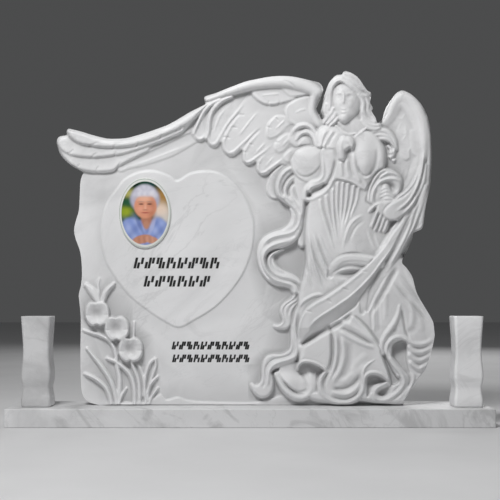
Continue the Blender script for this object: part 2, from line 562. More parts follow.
def skirt(c):
    left = [(330, 174), (316, 182), (309, 196), (306.5, 206), (304.5, 225), (304.5, 240), (305.5, 260),
            (303, 275), (299, 290), (297, 310),
            (297, 340), (299, 364)]
    low = [(300, 380), (306, 398), (330, 404), (360, 402), (380, 404), (404, 404)]
    right = [(412, 392), (424, 376), (440, 350), (440, 320), (424, 290), (404, 258), (392, 235),
             (384, 210), (380, 184), (366, 176)]
    middle = curve((176, 345), (240, 345), (300, 352), (404, 360))
    spread = curve((176, 44), (240, 48), (300, 66), (404, 78))
    crest = curve((176, 14.6), (195, 14.6), (215, 14.2), (250, 14.6), (300, 15), (360, 13.5), (404, 10.5))

    def top(X, Y):
        q = np.clip(np.abs(X - middle(Y)) / spread(Y), 0, 1)
        return crest(Y) * np.sqrt(1 - 0.62 * q ** 2.4)
    c.panel([(299, 198), (307, 198), (308, 226), (305, 246), (299, 247), (297, 240), (302, 226)], 5.5, 3.0)
    c.panel(left + low + right, top, 4.6, base=1.5, fillet=1.6)
    # The knee and thigh
    c.dent(352, 238, 24, 30, -3.4, turn=0)
    c.dent(352, 256, 26, 16, -2.0)
    pleats = (
        [(320, 199), (322, 212), (326, 225), (331, 240), (335, 254)],
        [(326, 195), (328, 210), (331, 222), (334, 236), (337, 252)],
        [(333, 188), (333, 205), (334, 220), (336, 235), (339, 250)],
        [(338, 182), (337, 200), (338, 215), (340, 232)],
        [(343, 182), (342, 200), (341, 215), (341, 230)],
        [(348, 183), (347, 198), (345, 212), (343, 225), (341, 240)],
        [(354, 185), (352, 200), (349, 213), (345, 225), (342, 238)],
        [(359, 187), (357, 200), (353, 211), (349, 221)])
    for p in pleats:
        c.fold(p, [1.9, 2.1, 2.2, 2.0], 1.7, fade=0.02, fade_end=0.35)
    for a, b in zip(pleats, pleats[1:]):
        n = min(len(a), len(b))
        c.fold([((p[0] + q[0]) / 2, (p[1] + q[1]) / 2) for p, q in zip(a[:n], b[:n])], 1.5, -1.1,
               fade=0.02, fade_end=0.4)
    c.lap([(366, 213), (357, 217), (351, 222), (347, 230), (344, 240), (342, 252)], [4, 5, 5, 4], 1.0,
          fade=0.3)
    c.fold([(365, 214), (358, 218), (352, 223), (348, 230), (345, 240), (343, 250)], 1.9, 1.2, fade=0.25)
    c.fold([(367, 219), (360, 223), (355, 228), (351, 236), (348, 246)], 2.2, -1.0, fade=0.3)
    for p, h in (([(308, 230), (311, 250), (315, 268), (322, 285)], 1.9), ([(306, 244), (308, 262),
                                                                            (313, 280)], 1.5),
                 ([(312, 228), (318, 248), (325, 265), (333, 280), (340, 288)], 2.0),
                 ([(318, 232), (325, 250), (333, 264)], 1.3), ([(310, 250), (316, 268), (320, 282),
                                                                (325, 292)], 1.4),
                 ([(367, 226), (371, 240), (376, 252)], 0.9), ([(375, 232), (378, 244), (382, 252)], 0.8)):
        c.fold(p, 2.2, h, fade=0.3)
    c.fold([(306, 262), (309, 278), (314, 292)], 2.2, -1.4, fade=0.3)
    c.fold([(311, 240), (316, 258), (324, 276), (331, 286)], 2.0, -1.6, fade=0.3)
    c.fold([(315.6, 232), (322, 252), (329, 268), (337, 282)], 1.8, -1.2, fade=0.3)


def knee_roll(c):
    roll = [(330, 276), (333.5, 268), (339, 262.5), (346, 259.5), (356, 259), (366, 260.5), (380, 263)]
    c.bead(roll, [3.4, 5.5, 6.5, 7, 7, 6.6, 6], [13, 17, 18.5, 19.4, 19.6, 19.2, 18], base=12, fillet=1.4,
           over=1.2)
    c.dent(351, 273.5, 19, 6.0, 5.0, turn=-6)
    c.bead([(329, 281), (333.5, 275), (341, 270.5), (352, 268.6), (362, 269.5)], [1.5, 2, 2, 1.8, 1.4],
           [12, 15, 16, 16, 15],
           base=10, fillet=1.0)
    c.fold([(334, 264), (340, 258), (350, 256), (364, 257), (376, 260)], 1.4, 0.7)
    c.fold([(338, 267), (345, 262.5), (355, 261.5), (370, 263)], 1.4, -0.8)
    c.bead([(330, 278), (333, 284), (338, 288), (344, 290)], [2.6, 3, 3, 2], [14, 14, 14, 13], base=11,
           fillet=1.0)


def bodice(c):
    torso = [(315.6, 136), (317.6, 129.5), (322, 125.2), (328, 123.8), (334, 125), (339, 128), (345, 130),
             (352, 131),
             (360, 130), (366, 129.5), (372, 131.5), (378, 136.5), (382, 143), (384.5, 152), (385.5, 163),
             (384, 176),
             (377, 186), (371, 183), (368, 189), (364.6, 192.4), (360, 189.6), (352, 184.8), (345, 182.2),
             (337, 180.8),
             (334, 184), (326, 184), (319, 165), (315, 148)]
    crest = curve((122, 13), (132, 15.6), (145, 17.4), (160, 18), (175, 17.4), (192, 16.2))

    def top(X, Y):
        q = np.clip(np.abs(X - 350) / 40, 0, 1)
        return crest(Y) * np.sqrt(1 - 0.45 * q ** 2.2)
    c.panel(torso, top, 3.0, base=7, fillet=1.2)
    # The far side of the chest, with its gathered underside
    c.dent(365, 158, 14.5, 24, -2.7, turn=-4)
    c.dent(366.4, 166, 9, 11, -1.2)
    for p, width, h in (
            ([(357.4, 164), (359.4, 170.4), (362.6, 174.6), (366.6, 175.8), (370.6, 173.6), (373, 168)],
             1.6, -1.5),
            ([(358.6, 172.6), (362, 177.6), (366.8, 178.6), (371.4, 176)], 1.8, 1.1),
            ([(376.6, 148), (377, 156), (375.8, 164), (373.4, 172), (370.4, 181)], 3.0, -0.9)):
        c.fold(p, width, h, fade=0.2)
    c.bead([(377, 141), (380, 150), (380.6, 160), (378.6, 170)], [4, 5.4, 5.6, 5], [14.4, 15.6, 15.2, 14],
           base=9,
           fillet=1.5)
    for p, width, h in (
            ([(341, 160), (341.2, 168), (341.8, 177)], 2.2, 0.9), ([(347, 158), (347, 168), (349.5, 179)],
                                                                   2.6, 1.0),
            ([(353.4, 152), (354, 163), (356.6, 173), (361, 184)], 3.0, 1.4),
            ([(344, 160), (344.2, 170), (345.4, 178)], 1.7, -0.8), ([(350, 155), (350.4, 166),
                                                                     (353.6, 178)], 1.8, -0.9),
            ([(356.4, 160), (357.4, 167), (360, 173)], 1.6, -0.7), ([(363, 179), (366, 183), (366.6, 189)],
                                                                    2.6, 0.7)):
        c.fold(p, width, h, fade=0.15)
    # The bodice's lower edge over the skirt
    c.fold([(337, 178.6), (345, 180), (352, 182.4), (358, 186), (363, 190)], 1.8, 0.7, fade=0.1)
    # Shoulder folds
    for p, h in (([(327, 129.6), (323, 136), (321.2, 144), (320.8, 148)], 1.1),
                 ([(334, 129.6), (329, 136.6), (325.4, 143), (323.4, 148)], 1.3),
                 ([(330.4, 130), (326, 136.4), (323, 144)], -0.8), ([(336.6, 131), (332, 138), (328, 146)],
                                                                    -0.7)):
        c.fold(p, 1.9, h, fade=0.2, fade_end=0.1)
    # The open neck and the collar
    c.panel([(337, 121), (340.6, 128.6), (345, 132), (350, 134), (355, 136.4), (360, 133), (365, 129),
             (365, 119)], 14.4,
            1.5, over=1.2)
    c.bead([(336, 126), (340, 129.2), (344, 132.2), (350, 134.2), (356, 133.4)], [1.2, 1.5, 1.5, 1.4, 1.0],
           [15, 15.8, 16.4, 16.8, 16.6], base=13.4, fillet=0.8)
    c.bead([(366, 128.6), (361, 132.4), (356, 136.2), (353, 138.4)], [1.2, 1.5, 1.5, 1.0], [15.6, 16.4,
                                                                                            16.8, 16.8],
           base=13.6, fillet=0.8)


def arms(c):
    # The cloak's arches over the near shoulder
    c.panel([(288, 141), (292, 133), (298, 126.6), (305, 124.6), (312, 127), (317, 134), (320, 148),
             (306, 146), (296, 148)],
            6.5, 3, base=3, fillet=1.0)
    c.bead([(286.4, 141), (291, 135.6), (294.6, 129.6), (299.6, 125.8), (305.4, 125), (311, 127.4),
            (315, 132.6), (317.4, 140),
            (318, 147)], [1.4, 2.2, 2.6, 2.8, 2.8, 2.8, 2.8, 2.8, 2.4], [4.6, 6.4, 8.4, 9.6, 10.2, 11, 12,
                                                                         13, 13.4], base=4,
           fillet=1.2)
    c.bead([(296.4, 139.6), (299.6, 135), (304.6, 132), (309.4, 132.8), (313.6, 137.6), (315.4, 145)],
           [1.8, 2.4, 2.8, 2.8, 2.6, 2.4], [8, 9, 10, 10.8, 11.8, 12.6], base=5, fillet=1.2)
    hollow(c, [(297.4, 146), (299, 140), (303.6, 136.4), (308.6, 137), (312, 140.6), (313.4, 146),
               (306, 146.6)], 8.2, 3.0)
    c.dent(302.6, 129.6, 6.5, 2.6, 1.2, turn=-25)
    c.panel([(294, 168), (299, 177), (306, 179), (314, 179), (322, 178), (322, 184), (311, 187),
             (306, 195), (305, 206),
             (303, 216), (300, 212), (297.6, 200), (294, 186)], 11.6, 4, base=6, fillet=1.4)
    c.panel([(291, 160), (292, 170), (295.4, 176.6), (301, 181), (307, 183.4), (314, 182.6), (321, 178),
             (326, 170),
             (326, 150), (300, 150)], 13.2, 3.0, base=7, fillet=1.4)
    # The round sleeve: a shallow dish with a raised lower rim
    ball = [(307, 145.4), (301.6, 146.6), (296.4, 149.6), (293.4, 154), (292.2, 160), (292.6, 167),
            (295, 172.6),
            (299.4, 176.6), (305, 178), (310.6, 176.8), (316, 173.4), (320.6, 168), (323.4, 161),
            (324.4, 153),
            (324, 147.6), (318.6, 146.8), (313, 145.6)]
    c.panel(ball, lambda X, Y: 12.4 + 0.03 * (X - 308) + 0.03 * (Y - 160), 5.0, base=10.2, fillet=1.4,
            over=1.4, dome=3.2)
    c.fold([(294, 161), (295.4, 168.4), (299.6, 173.6), (305.2, 175.2), (311.2, 173.4), (316.8, 168.6),
            (321, 162),
            (322.8, 154), (322.4, 149)], 3.2, 0.7, fade=0.3)
    # The cape beside it, turning under in a hook
    c.panel([(321, 148.4), (328, 147.8), (335, 148.2), (337, 156), (336.6, 166), (334, 175),
             (329.6, 182.6), (323.6, 187.6),
             (316, 190.6), (309, 194), (305.6, 190), (308, 184.6), (314, 181), (321, 179), (323, 174),
             (323, 164)],
            lambda X, Y: 15.0 + 0.03 * (X - 322), 2.0, base=13.4, fillet=1.0, over=2.0, dome=1.4)
    hollow(c, [(308, 193), (311, 187.6), (318, 184.6), (324, 182), (327.4, 183.6), (324.4, 189.6),
               (317, 194.6),
               (310.4, 196.6)], 10.4, 3.4)
    c.fold([(320, 189), (327.6, 183), (332, 175), (334.6, 166), (335.4, 158)], 2.4, -2.2, fade=0.2)
    c.bead([(322, 149), (322.8, 160), (323.6, 170), (322.6, 177), (318.4, 180.8), (312, 182.6),
            (307.4, 186.4), (305.2, 191.6),
            (305, 198)], [1.2, 1.7, 2.2, 3, 3.5, 3.1, 2.7, 2.4, 2.2], [16, 16.4, 16.8, 17, 16.8, 15.8,
                                                                       14.6, 13.6, 12.6],
           base=9, fillet=1.4)
    c.bead([(305.4, 199), (310.4, 199.6), (318, 196.8), (325.4, 191.8), (331, 184.8), (334.8, 176),
            (337.2, 167),
            (338.2, 158), (337.6, 150)], [2.2, 2.8, 3, 3, 2.8, 2.5, 2.1, 1.7, 1.3],
           [12.4, 13.4, 14.6, 15.6, 16.2, 16.8, 17.2, 17.4, 17.4], base=8, fillet=1.0)
    c.dent(321, 146.4, 5, 4, -0.8)
    for a, b, d in (((321.4, 141), (319.6, 152), 1.0), ((325, 141), (323.6, 153), 0.9), ((323.4, 141.6),
                                                                                         (321.8, 150),
                                                                                         -0.8)):
        c.fold([a, b], 1.8, d, fade=0.3, fade_end=0.4)
    # The wrist and the closed hand on the chest
    c.bead([(342.2, 157), (341, 150), (341.4, 144), (343.4, 140)], [4.6, 5.2, 5.2, 4.6], [21.8, 22.6, 23.2,
                                                                                          23],
           base=15, fillet=0.6)
    c.dent(347.4, 157, 3.4, 6, 1.2)
    c.panel([(340, 142), (342.4, 138), (346.6, 136), (351.2, 137.2), (354.4, 140.4), (355.4, 145),
             (354.2, 149),
             (351.6, 151), (348.6, 150.4), (345, 152), (341.4, 149)], 22.9, 4.2, base=15, fillet=1.0)
    c.dent(350, 149, 2.6, 3.6, 3.2, turn=20)
    c.fold([(345.4, 144.6), (348.6, 143.6), (350.4, 146), (350, 149)], 1.3, -0.9, fade=0.3)
    c.fold([(350.4, 137.6), (352, 141), (352.2, 145)], 0.9, -0.6, fade=0.25)
    c.fold([(346.2, 136.6), (347.8, 140), (350, 142)], 0.9, -0.5, fade=0.25)
    c.dent(341, 161, 6, 2.2, 0.8)


def far_arm(c):
    c.panel([(366, 203), (366.6, 194), (368.2, 186), (371.4, 178), (376.2, 171.4), (382.6, 167.4),
             (390, 168), (397, 171.6),
             (402.6, 178), (403, 186), (399, 196), (390, 203), (378, 208)], 13.4, 4.6, base=6.5, over=1.6)
    c.dent(389.6, 187, 11.5, 7.5, 5.5, turn=20)
    for path, width, height in (
            ([(368.4, 204), (368.8, 194), (371, 185.6), (375.4, 177.6), (380.6, 171.8), (386, 169.8),
              (391, 171)], 2.3, 1.7),
            ([(378.4, 179), (383.6, 174.6), (389.4, 172.6), (395.6, 173.6), (401.4, 178)], 2.1, 1.5),
            ([(372, 204), (372.8, 194), (375.8, 187), (380.4, 181.8), (386.4, 179.2), (392.4, 178.6),
              (397.6, 179.8),
              (401.4, 183.4)], 2.3, 1.8),
            ([(370.4, 202), (371, 192), (373.8, 184.6), (378, 178.6), (383, 174), (388, 172)], 1.4, -1.2),
            ([(379, 180.6), (385, 177), (391.4, 176), (397, 177), (401, 180.4)], 1.5, -1.2),
            ([(375.6, 204), (375.8, 196), (378, 189)], 1.8, -1.0)):
        c.fold(path, width, height, fade=0.15)
    # The forearm and its rings
    c.bead([(385.4, 187.4), (386.8, 194), (389, 202)], [4.8, 7.2, 9], [13.8, 15.4, 17], base=7.5,
           fillet=1.0)
    for k, (y, half) in enumerate(((188.6, 5.6), (191.8, 6.8), (195.4, 8), (199.4, 9))):
        x = 386 + 0.8 * k
        ring = [(x - half, y + 2.6), (x - 0.45 * half, y - 0.2), (x + 0.3 * half, y - 0.6),
                (x + half, y + 2.8)]
        c.fold(ring, 1.5, 0.85, fade=0.12)
        c.fold([(p, q + 1.7) for p, q in ring], 1.2, -0.5, fade=0.12)


def hand(c):
    c.panel([(377, 203.4), (383, 200.4), (391, 200.6), (393, 206), (390, 212), (385, 216), (379, 214.6),
             (375.6, 209)], 17.8,
            3.4, base=10, fillet=1.0)
    for path, top in (([(380, 206), (376, 215), (371.6, 226.6)], [18, 17.8, 16]),
                      ([(383, 210), (379.3, 219.6), (375.2, 230)], [17.2, 17, 15.2]),
                      ([(386, 213.4), (383.2, 221.6), (380, 230.6)], [16.4, 16, 14.6]),
                      ([(389, 216), (387, 223.6), (384.2, 231)], [15.4, 15, 13.8])):
        c.bead(path, [2.3, 2.1, 1.6], top, base=12, fillet=0.7)
    c.bead([(382, 203), (377.4, 204.2), (373, 207.2), (369.2, 211.6)], [2.2, 2.1, 1.8, 1.3], [18.2, 17.8,
                                                                                              17, 15.6],
           base=11.5, fillet=0.8)


def rounded_feather(c):
    # The broad feather that ends over the hand, with its rib and the fan of feathers under it
    body = [(382.6, 211), (383, 216), (386, 219.6), (391, 221.4), (396.6, 221), (401, 218.4), (408, 212.6),
            (413.6, 206),
            (418, 198), (421, 188), (424, 174), (427, 158), (422, 156), (419.5, 168), (416, 180),
            (410, 189),
            (403, 195.4), (396, 199), (389.4, 203), (385, 207)]
    crest = curve((382, 19), (395, 18.2), (410, 15.6), (426, 12.4))
    c.panel(body, lambda X, Y: crest(X), 3.2, base=11, fillet=1.0, over=1.2)
    c.fold([(395, 212.2), (400, 208.6), (406.4, 203.4), (412, 196.4), (416.8, 187.6), (420.6, 176.6),
            (423, 163),
            (423.6, 150)], 1.9, 1.3, fade=0.12)
    c.fold([(399, 212.8), (405, 208.4), (410.6, 202.6), (416, 194.4), (420.4, 184), (423.8, 172),
            (425.8, 158)], 2.0, -1.4,
           fade=0.15)
    c.fold([(402, 215.4), (408, 210), (413.4, 203.6), (417.6, 195)], 1.6, 0.8, fade=0.2)
    c.fold([(405, 218), (410.6, 211.4), (415.4, 204.4), (419.4, 195)], 1.7, -0.9, fade=0.2)
    c.fold([(390, 207.4), (397, 203), (404.6, 198.6), (411, 192)], 1.8, 0.3, fade=0.2)


def head(c):
    # Hair behind, on both sides of the neck
    back = [(325.6, 116), (322.6, 109), (325, 98), (327, 86), (333, 77), (340, 73.5), (348, 70), (358, 77),
            (366, 88),
            (371.6, 92), (371, 102), (374, 108), (372, 112), (378, 121), (381, 127), (374, 131),
            (367, 129.6), (364, 122),
            (361, 114), (350, 108), (340, 108), (336.6, 116), (334, 124), (328, 123)]

    def crown(X, Y):
        q = np.clip(((X - 347) / 31) ** 2 + ((Y - 104) / 44) ** 2, 0, 1)
        return 6.8 + 8.4 * np.sqrt(1 - q)
    c.bead([(352, 114), (353, 124), (354, 132)], [9, 10.4, 11.4], [15.2, 14.8, 14.6], base=10, fillet=1.2)
    c.panel(back, crown, 3.0, base=6.5, fillet=1.0)
    # Face: a calm oval, turned a little to the left
    face = [(332.8, 92), (335, 86.6), (340, 83), (347, 83.6), (354, 87.6), (359, 92.6), (361.2, 99),
            (361.2, 106),
            (359.4, 112.6), (355.6, 118), (350, 121.8), (344.4, 123.6), (340, 122.4), (337, 118),
            (334.6, 112),
            (332.8, 105), (332.2, 98)]
    c.panel(face, lambda X, Y: 20.2 - 0.0065 * np.maximum(X - 345, 0) ** 2, 12.5, base=11.5, fillet=1.0,
            over=1.2)
    c.ball(344.2, 117.6, 5.6, 5.2, 19.4, base=15.0, fillet=2.6)
    # Brow, eyes, nose, mouth and chin, in even proportions about the middle line
    mx = 343.6

    def at(u, y):
        return mx + u + 0.03 * (102 - y), y
    c.dent(*at(0.6, 88.6), 9, 5, -0.5)
    for s, half in ((-1, 0.86), (1, 1.06)):
        c.dent(*at(5.4 * s * half, 96.4), 4.6 * half, 3.2, 1.3)
        c.ball(*at(5.6 * s * half, 96.9), 2.9 * half, 1.9, 18.5 - 0.2 * s, base=17.0, fillet=1.2)
        c.fold([at(1.8 * s, 94.4), at(5.4 * s * half, 92.8), at(9.0 * s * half, 94.4)], 1.8, 0.5, fade=0.3)
        c.fold([at(3.0 * s, 97.8), at(5.7 * s * half, 98.8), at(8.3 * s * half, 97.6)], 0.8, -0.35,
               fade=0.25)
        c.dent(*at(6.8 * s * half, 105), 5.2 * half, 6.0, -0.6)
    c.fold([at(0, 92), at(0, 96.4), at(0, 100), at(0, 103.4)], [1.7, 1.5, 1.8, 2.2], [0.4, 1.0, 1.5, 1.7],
           fade=0.15,
           fade_end=0.2)
    c.dent(*at(0, 102.6), 2.2, 2.0, -0.8)
    for s in (-1, 1):
        c.dent(*at(2.0 * s, 103.4), 1.4, 1.2, -0.6)
    c.fold([at(-3.6, 109.6), at(-1.5, 108.9), at(0, 109.2), at(1.5, 108.9), at(3.8, 109.6)], 1.1, 0.6,
           fade=0.3)
    c.fold([at(-2.9, 111.6), at(0, 112.1), at(3.1, 111.6)], 1.3, 0.7, fade=0.3)
    c.fold([at(-3.8, 110.4), at(0, 110.5), at(4.0, 110.4)], 0.7, -0.6, fade=0.15)
    c.dent(*at(0, 114.4), 3.0, 1.3, 0.45)
    # Hair: swept from the parting over the brow and down both sides
    locks = (
        ([(340.6, 79.6), (335.4, 81.8), (331.6, 87.4), (330.2, 95), (330, 102.6), (329.4, 109)], [2.0, 2.6,
                                                                                                  2.6, 2.2,
                                                                                                  2, 1.8],
         [18.8, 18.6, 17.8, 17, 16.2, 15.2]),
        ([(340, 76.8), (333.4, 80), (329, 87.4), (327.4, 96), (325.4, 104), (324.6, 110)], [2.4, 3, 3.2,
                                                                                            2.8, 2.6, 2.2],
         [17.6, 16.8, 15.6, 14.6, 13.4, 12.4]),
        ([(341.4, 80.4), (346.6, 83), (352, 86.8), (357, 91), (361.6, 94.6), (366, 96.4)], [1.6, 2.4, 2.8,
                                                                                            2.8, 2.4, 1.8],
         [19.4, 20.2, 20, 18.8, 17.4, 16]),
        ([(342, 77.4), (349, 79.8), (355, 83.8), (361.4, 87.8), (367.4, 90.4), (370, 93.4)], [2, 2.8, 3.2,
                                                                                              3.2, 2.8, 2],
         [18.4, 19, 18.6, 17.2, 15.4, 13.8]),
        ([(344, 74.6), (351, 75.4), (357.6, 79), (363, 84.6), (366, 88)], [2, 2.8, 3, 2.8, 2], [16.6, 16.2,
                                                                                                15.4, 14,
                                                                                                13]),
        ([(358, 94), (361.6, 98.6), (363.4, 104), (363, 110), (365, 116), (369.4, 120.6), (374.6, 122.4)],
         [1.6, 2.2, 2.4, 2.4, 2.4, 2.4, 2], [18, 17.6, 17, 16.4, 15.8, 15.2, 14.4]),
        ([(366, 97), (368, 103), (367.4, 109), (370, 114.6), (374, 118.4), (377, 121)], [2.4, 2.8, 2.8,
                                                                                         2.8, 2.6, 2],
         [15.4, 15.2, 14.8, 14.4, 13.8, 13.2]),
        ([(370, 99), (371.4, 104.4), (370.8, 109.4), (373, 114)], [1.6, 1.9, 1.8, 1.4], [13, 13, 12.8,
                                                                                         12.4]),
        ([(361.6, 112), (363, 118), (366.4, 122.6), (371.6, 125), (378.4, 125.4)], [1.6, 2.2, 2.4, 2.4,
                                                                                    1.8],
         [16, 15.8, 15.6, 15.2, 14.4]),
        ([(362.4, 119), (365, 124.6), (369.6, 128), (375, 129), (379.6, 128)], [1.6, 2.2, 2.4, 2.2, 1.6],
         [15.6, 15.6, 15.4, 15, 14.2]),
        ([(333.6, 108), (331.4, 112.6), (328, 117), (325, 121), (324, 123)], [1.6, 2.2, 2.2, 1.8, 1.2],
         [16, 15.8, 15, 14.2, 13.6]),
        ([(336.4, 112), (334.2, 116.6), (330.8, 120.6), (327.4, 124)], [1.5, 1.9, 1.9, 1.4], [16.6, 16.4,
                                                                                              15.8, 15]),
        ([(338, 117), (336, 120.6), (333, 123.4), (330.4, 125.4)], [1.3, 1.7, 1.6, 1.2], [16.8, 16.6, 16.2,
                                                                                          15.6]),
        ([(327, 104), (325, 108.6), (324.4, 113), (326, 116)], [1.6, 1.9, 1.8, 1.4], [14, 13.6, 13, 12.6]),
    )
    for path, width, top in locks:
        c.bead(path, width, top, base=np.array(top) - 3.0, fillet=0.7)
        offset_groove(c, path, width, -0.34)
        offset_groove(c, path, width, 0.34)
    # The lock that falls behind the far shoulder, with its knot
    for path, width, top in (
            ([(371, 133), (379, 130.6), (386, 131.6), (391.4, 136), (395, 142), (397, 149)], [1.8, 2.4,
                                                                                              2.4, 2.2, 2,
                                                                                              1.2],
             [13.4, 13, 12.2, 11.4, 10.6, 9.6]),
            ([(374, 135.4), (381, 134.8), (387.4, 137), (391.6, 142), (395, 148)], [1.8, 2.2, 2.2, 2, 1.4],
             [13.6, 13.2, 12.4, 11.4, 10.4]),
            ([(377, 138.6), (384, 138.8), (390, 141), (394, 146.4)], [1.6, 2, 1.8, 1.2], [13.4, 13, 12,
                                                                                          10.8]),
            ([(388, 146), (391, 149.5), (391.5, 155)], [1.6, 1.8, 1.6], [9.6, 9.6, 9]),
            ([(394.5, 149), (393.6, 154), (391, 159)], [1.6, 1.8, 1.4], [9.8, 9.6, 8.6])):
        c.bead(path, width, top, base=np.array(top) - 3.0, fillet=0.9)
    for x, y, r, top in ((391.4, 152.4, 2.8, 10.6), (390.6, 156.8, 2.5, 10.0), (394, 160.4, 2.2, 9.2)):
        c.ball(x, y, r, r * 0.85, top, base=6.5, turn=-20, fillet=0.9)


def offset_groove(c, path, width, share):
    p = spline(path)
    d = np.gradient(p, axis=0)
    d /= np.linalg.norm(d, axis=1)[:, None]
    t = np.linspace(0, 1, len(p))
    w = along(width, t) * share
    q = p + np.column_stack([-d[:, 1], d[:, 0]]) * w[:, None]
    c.fold(q[::3] if len(q) > 8 else q, 0.85, -0.8, fade=0.2)


def ribbons(c):
    ribbon_loops(c)
    ribbon_curl(c)
    ribbon_feet(c)


def ribbon_loops(c):
    # The flat loop behind
    c.panel([(285, 163.6), (279, 166.6), (273, 171.6), (269, 177.6), (266.6, 184), (266.2, 190),
             (267.8, 195),
             (271, 198.2), (275, 199.2), (282, 198), (296, 190), (300, 176), (296, 165)], 2.6, 1.2)
    c.fold([(285, 164.8), (279, 168.2), (273.6, 173.2), (269.8, 179.2), (267.8, 185.4), (267.6, 190.6),
            (269.6, 195)],
           1.2, 0.7, fade=0.1)
    # The low strand along the outside of the bend, and the band inside it
    c.panel([(289, 208), (290.6, 214), (290.6, 219), (287.6, 225), (281.6, 229.2), (274, 231.6),
             (267, 234.8),
             (261.6, 239.4), (258, 246), (256.6, 254), (257.6, 263), (260.6, 271.6), (265.6, 279),
             (271, 283.4),
             (277, 286), (284, 287), (289.6, 289.4), (292, 294), (300, 296), (296, 284), (270, 270),
             (266, 250),
             (280, 238), (296, 232), (300, 216), (294, 206)], 5.0, 2.4)
    c.panel([(283, 248.4), (276.6, 250.4), (270.6, 253.6), (267, 258.6), (267.2, 265), (270, 271.4),
             (274.6, 276.4),
             (281, 279.8), (289, 281.6), (296, 284.2), (300, 289), (302, 298), (309, 298), (307, 289),
             (303, 283),
             (298.6, 278), (292, 274), (284.6, 271), (279, 267.4), (275, 262), (274.2, 257), (277, 253.2),
             (284, 250)], 5.8, 2.0, base=1.0)
    # The upper band from the sleeve round the bend
    c.panel([(293, 163), (286, 166.8), (280, 172.4), (276.2, 179.6), (274.8, 188), (276.4, 195.4),
             (281, 200.4),
             (287, 204.8), (292, 209.2), (295.4, 214), (296.6, 219), (296, 224), (293, 228.6), (288.4, 231),
             (282, 232), (274, 233.6), (267, 236.8), (262, 242), (259.8, 249), (259.8, 258), (261.8, 267),
             (265.8, 275),
             (271, 280.8), (278, 283.8), (286, 285.2), (291, 287.8), (293, 294), (300, 294), (297.6, 286),
             (291, 282),
             (283, 280.6), (276, 277.6), (270.4, 272.6), (267, 265.6), (266.2, 258.4), (268.4, 253),
             (273.6, 250),
             (281, 248.4), (289, 245.6), (296.4, 240.6), (301.4, 233), (304, 224), (304.4, 214), (303, 205),
             (301, 190), (301, 176), (298, 165)], 8.2, 3.4, base=2.0, fillet=1.0)
    for path, width, height in (
            ([(294, 166.8), (286.6, 170.4), (281.6, 176), (278.6, 182.6), (277.8, 189.4), (279.6, 195.4),
              (285, 200.6)], 3.2, 2.4),
            ([(297, 171.6), (290, 176.6), (285, 183.2), (282.8, 190), (284, 196)], 2.1, -3.0),
            ([(297, 175.4), (289.4, 179.8), (285.8, 186), (284.8, 192.6), (288.4, 198.4), (294, 203)], 2.2,
             1.4),
            ([(299, 180), (292.8, 183.4), (289.2, 188), (288.2, 193.6), (290, 197)], 2.0, -3.0),
            ([(299, 182), (293.8, 186), (292, 191), (293.4, 197), (297.4, 202.6), (301, 209.6)], 2.2, 1.6),
            ([(300.6, 210), (300.2, 218), (298, 225), (294, 230), (288, 232.8), (280, 234.6),
              (272.6, 236.6),
              (266.8, 240.2), (263, 245.6)], 2.7, 1.8),
            ([(297, 233.6), (289, 237.6), (280, 239.2), (272, 241.8), (267, 246)], 2.8, -1.0),
            ([(291, 240), (282, 242.4), (274.6, 244.6), (268.4, 248), (264.6, 252.8), (263.2, 258.8),
              (264.4, 265.2),
              (267.4, 271.8), (272, 277.4), (278, 280.8), (285.4, 282.6)], 2.3, 1.8),
            ([(266, 244), (261.6, 251), (260.6, 258), (262.2, 266), (265.8, 274), (271, 279.4)], 1.5, -1.1),
            ([(291, 213), (290.8, 219.4), (287.4, 225.4), (281, 229.6), (273, 232.4), (266, 236.2),
              (261, 241.2),
              (258.8, 248), (258.4, 256), (259.8, 265), (263.2, 273), (268, 279.4), (274.6, 283.6)], 1.8,
              1.1),
            ([(294, 214), (293.8, 221.6), (290.6, 227.4)], 1.1, 0.7), ([(292.5, 214), (292.3, 221),
                                                                        (289, 226.6)], 1.0, -0.9),
            ([(281, 250), (273.8, 252.8), (269.6, 256.8), (269, 262), (271, 268.6), (275.2, 273.6),
              (281.6, 276.4),
              (290, 278), (297, 281), (301, 286)], 2.0, 1.3),
            ([(277.6, 253), (272.8, 257), (272, 262), (274.2, 267.4), (279, 271.8), (287, 274.4)], 1.3,
             -1.2),
            ([(282.6, 250.4), (277, 254), (275.4, 258.6), (276.6, 264), (280.4, 268.6), (287.4, 271.8),
              (294.4, 275),
              (300, 279.6), (303.6, 286)], 1.4, 1.1)):
        c.fold(path, width, height, fade=0.1)
    c.dent(299.6, 188, 3.2, 9, 1.6, turn=6)


def ribbon_curl(c):
    c.panel([(289, 286), (292.6, 292), (291, 297.6), (285.6, 301.6), (280.8, 307), (279.6, 313),
             (281.6, 319), (281.4, 322.6),
             (278, 324.8), (273.6, 324.8), (273.4, 327.4), (278, 329.4), (284, 329.8), (289.4, 327.4),
             (292, 322), (293.4, 312),
             (297, 305), (303, 298), (306, 290), (300, 284)], 4.8, 2.2)
    for path, width, height in (
            ([(294.6, 289), (294.4, 296.6), (289, 301), (283.4, 305.4), (281.6, 311), (283, 317),
              (283.8, 321.6),
              (280.8, 325), (275, 326.2)], 1.7, 1.4),
            ([(298.6, 291), (298.6, 298), (293, 302.4), (287.6, 306.6), (285.8, 312.4), (287.2, 318)], 1.5,
             1.1),
            ([(302, 293), (299.6, 301), (294, 306.4), (290.4, 312), (290.2, 318)], 1.5, 1.1),
            ([(296.6, 290), (296.6, 297.4), (291, 301.8), (285.4, 306.2), (283.8, 312), (285, 317)], 1.0,
             -1.3),
            ([(300.6, 292), (299.4, 299.4), (293.4, 304.4), (289, 309.4), (288.2, 316)], 1.0, -1.2)):
        c.fold(path, width, height, fade=0.12)


